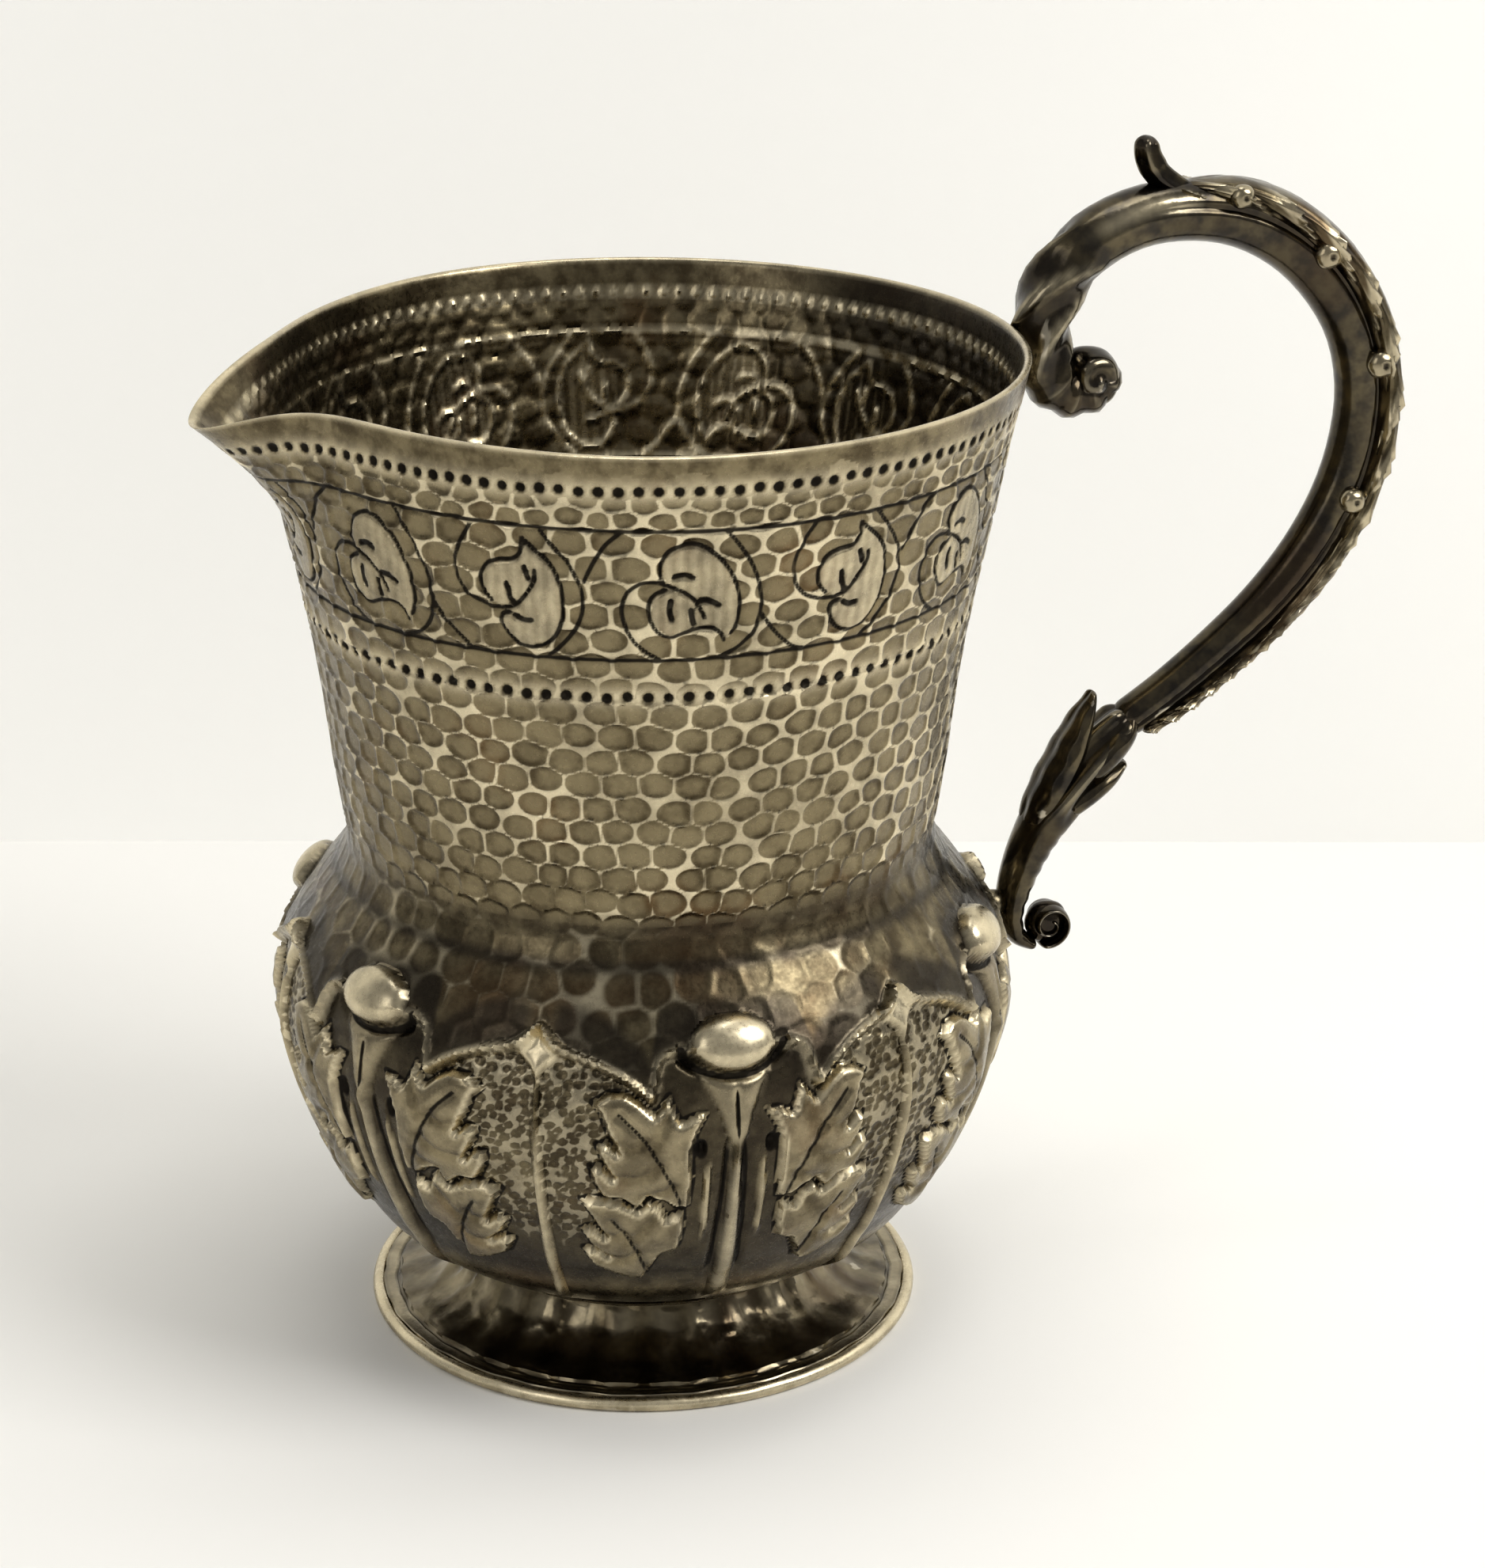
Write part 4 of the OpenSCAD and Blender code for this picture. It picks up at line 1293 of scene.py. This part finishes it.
def berries():
    """One dimpled berry, copied to every place along the vine."""
    berry = ball("berry", (0, 0, 0), (1.0, 1.0, 1.0), segments=44)
    co = coordinates(berry.data) / MM
    dimple = 1 - ramp(np.degrees(np.arccos(np.clip(-co[:, 1], -1, 1))), 5, 20)
    put_coordinates(berry.data, co * (1 - 0.16 * dimple)[:, None] * MM)
    paint(berry.data, "relief", -0.3 * dimple)
    paint(berry.data, "polish_and_highlight", 0.4 - 0.4 * dimple)
    placed = [berry]
    for _ in BERRIES[1:]:
        activate(berry)
        bpy.ops.object.duplicate(linked=False)
        placed.append(bpy.context.object)
    for copy, (x, z, size, way) in zip(placed, BERRIES):
        copy.location = (x * MM, 2.5 * way * MM, (z - 0.3 * way) * MM)
        copy.scale = (size, size * 0.85, size)
        copy.rotation_euler = (0, 0, math.pi * (way > 0))
        activate(copy)
        bpy.ops.object.transform_apply(location=True, rotation=True, scale=True)
    return placed


def spiral_stations():
    """Stations of the flat scroll at the leg's end, from outside inwards."""
    stations = []
    for t in np.linspace(0, 1, 26):
        angle = math.radians(-110 + 560 * t)
        radius = (SCROLL_RADIUS - 0.38) * (1 - 0.86 * t)
        stations.append((SCROLL_EYE[0] + radius * math.cos(angle),
                         SCROLL_EYE[1] + radius * math.sin(angle), 0.36 - 0.1 * t, 1.6))
    return stations


class JUG_OT_handle(Operator):
    """Cast the handle's arch with its curl, the vine on its back and the thumb piece"""
    bl_idname = "cream_jug.handle"
    bl_label = "Handle"
    bl_options = {"REGISTER", "UNDO"}

    def execute(self, context):
        arch = bar("arch_tube", ARCH, 420, 72, arch_relief, arch_shine)
        handle = join("handle_tube", [arch, snail_curl()])
        finish_piece(handle, "handle_arch", "cast_silver")

        proud = [(x, z, half, width * VINE_PROUD) for x, z, half, width in VINE]
        strip = bar("vine_strip", proud, 420, 72, vine_relief, vine_shine)
        vine = join("handle_vine_and_berries", [strip] + berries())
        finish_piece(vine, "handle_vine", "vine_silver")

        spur = bar("thumb_spur", SPUR, 80, 40, spur_relief)
        finish_piece(spur, "thumb_piece", "cast_silver")
        seam = ball("rim_seam", (32.4, 0, 83.0), (0.88, 1.5, 0.88), 0.1)
        finish_piece(seam, "upper_solder", "solder")
        return {"FINISHED"}


class JUG_OT_scroll(Operator):
    """Cast the leaf sleeve, its slender leg and the flat spiral that meets the bowl"""
    bl_idname = "cream_jug.scroll"
    bl_label = "Leaf and scroll"
    bl_options = {"REGISTER", "UNDO"}

    def execute(self, context):
        leg = bar("leg", LEG, 160, 56, leg_relief)
        tip = bar("leaf_tip", LEAF_TIP, 60, 44, leaf_relief)
        lobes = [bar("leaf_lobe_%d" % index, points, 60, 44, leaf_relief)
                 for index, points in enumerate(LEAF_LOBES)]
        coil = bar("coil", spiral_stations(), 200, 28)
        core = ball("core", (SCROLL_EYE[0], 0, SCROLL_EYE[1]), (1.95, 1.3, 1.95), segments=40)
        paint(core.data, "relief", np.full(len(core.data.vertices), -0.3))
        scroll = join("leaf_and_scroll", [leg, tip] + lobes + [coil, core])
        finish_piece(scroll, "leaf_scroll", "cast_silver")
        seam = ball("bowl_seam", (32.3, 0, 32.2), (1.15, 1.2, 1.2), 0.1)
        finish_piece(seam, "lower_solder", "solder")
        return {"FINISHED"}


class JUG_OT_stage(Operator):
    """Set the white table, the white wall, the soft lights and the camera"""
    bl_idname = "cream_jug.stage"
    bl_label = "Stage"
    bl_options = {"REGISTER", "UNDO"}

    def execute(self, context):
        finish = context.scene.jug_finish
        deselect()
        bpy.ops.mesh.primitive_plane_add(size=6.0, location=(0, 0, 0))
        floor = bpy.context.object
        floor.name = "stage_floor"
        floor.data.materials.append(matte("white_table", finish.floor))
        facing = math.radians(WALL_TURN)
        ahead = Vector((math.sin(facing), math.cos(facing), 0))
        bpy.ops.mesh.primitive_plane_add(size=3.0, location=ahead * WALL_AWAY + Vector((0, 0, 1.5)),
                                         rotation=(math.radians(90), 0, -facing))
        wall = bpy.context.object
        wall.name = "stage_wall"
        bpy.ops.object.transform_apply(location=True, rotation=True, scale=True)
        # the wall glows a little: painted light that brightens it beyond what the lamps give
        wall.data.materials.append(matte("white_wall", finish.backdrop, one_sided=True, glow=0.1))

        def area(name, place, aim, size, power, tint):
            deselect()
            bpy.ops.object.light_add(type="AREA", location=place)
            lamp = bpy.context.object
            lamp.name = name
            lamp.data.shape = "RECTANGLE"
            lamp.data.size, lamp.data.size_y = size
            lamp.data.energy = power
            lamp.data.color = tint
            lamp.rotation_euler = (Vector(aim) - Vector(place)).to_track_quat("-Z", "Y").to_euler()

        area("soft_right", (0.50, -0.42, 0.62), (0, 0, 0.04), (0.42, 0.36), 4.4, (1.0, 0.99, 0.97))
        area("soft_left", (-0.60, -0.40, 0.35), (0, 0, 0.05), (0.30, 0.45), 0.65, (1.0, 0.98, 0.95))
        area("soft_top", (0.05, 0.04, 0.80), (0, 0, 0), (0.40, 0.40), 2.2, (1, 1, 1))
        world = bpy.data.worlds.new("soft_white")
        context.scene.world = world
        world.use_nodes = True
        world.node_tree.nodes["Background"].inputs["Color"].default_value = (1.0, 0.985, 0.95, 1)
        world.node_tree.nodes["Background"].inputs["Strength"].default_value = 0.36
        context.scene.view_settings.view_transform = "Standard"
        context.scene.view_settings.look = "None"

        # the camera stands in front, a little to the handle's side, and looks down on the jug
        turn = math.radians(CAMERA_TURN)
        yaw, pitch, roll = CAMERA_YAW, CAMERA_PITCH, CAMERA_ROLL
        place = Vector((-CAMERA_AWAY * math.sin(turn), -CAMERA_AWAY * math.cos(turn), CAMERA_HIGH))
        heading = yaw + turn
        forward = Vector((math.sin(heading) * math.cos(pitch), math.cos(heading) * math.cos(pitch),
                          -math.sin(pitch)))
        right = forward.cross(Vector((0, 0, 1))).normalized()
        up = right.cross(forward)
        axis_x = right * math.cos(roll) + up * math.sin(roll)
        axis_y = up * math.cos(roll) - right * math.sin(roll)
        deselect()
        bpy.ops.object.camera_add(location=place)
        camera = bpy.context.object
        camera.name = "camera"
        camera.matrix_world = Matrix((
            (axis_x.x, axis_y.x, -forward.x, place.x), (axis_x.y, axis_y.y, -forward.y, place.y),
            (axis_x.z, axis_y.z, -forward.z, place.z), (0, 0, 0, 1)))
        camera.data.sensor_width = 36
        camera.data.lens = CAMERA_LENS
        camera.data.clip_start = 0.01
        context.scene.camera = camera
        return {"FINISHED"}


class JUG_PT_panel(Panel):
    """Builds the jug piece by piece and shows its sizes and colours"""
    bl_idname = "JUG_PT_panel"
    bl_label = "Cream Jug"
    bl_space_type = "VIEW_3D"
    bl_region_type = "UI"
    bl_category = "Cream Jug"

    def draw(self, context):
        column = self.layout.column(align=True)
        for operator in OPERATORS:
            column.operator(operator.bl_idname)
        for settings in (context.scene.jug_shape, context.scene.jug_finish):
            box = self.layout.box()
            for name in settings.__annotations__:
                box.prop(settings, name)


OPERATORS = (JUG_OT_materials, JUG_OT_body, JUG_OT_foot, JUG_OT_handle, JUG_OT_scroll, JUG_OT_stage)
CLASSES = (JugShape, JugFinish) + OPERATORS + (JUG_PT_panel,)


def register():
    """Add the classes and the scene's settings."""
    for item in CLASSES:
        bpy.utils.register_class(item)
    bpy.types.Scene.jug_shape = PointerProperty(type=JugShape)
    bpy.types.Scene.jug_finish = PointerProperty(type=JugFinish)


def unregister():
    """Take the classes and the settings away again."""
    del bpy.types.Scene.jug_shape
    del bpy.types.Scene.jug_finish
    for item in reversed(CLASSES):
        bpy.utils.unregister_class(item)


def main():
    """Build every piece, then the stage."""
    register()
    bpy.ops.cream_jug.materials()
    bpy.ops.cream_jug.body()
    bpy.ops.cream_jug.foot()
    bpy.ops.cream_jug.handle()
    bpy.ops.cream_jug.scroll()
    bpy.ops.cream_jug.stage()


if __name__ == "__main__":
    main()
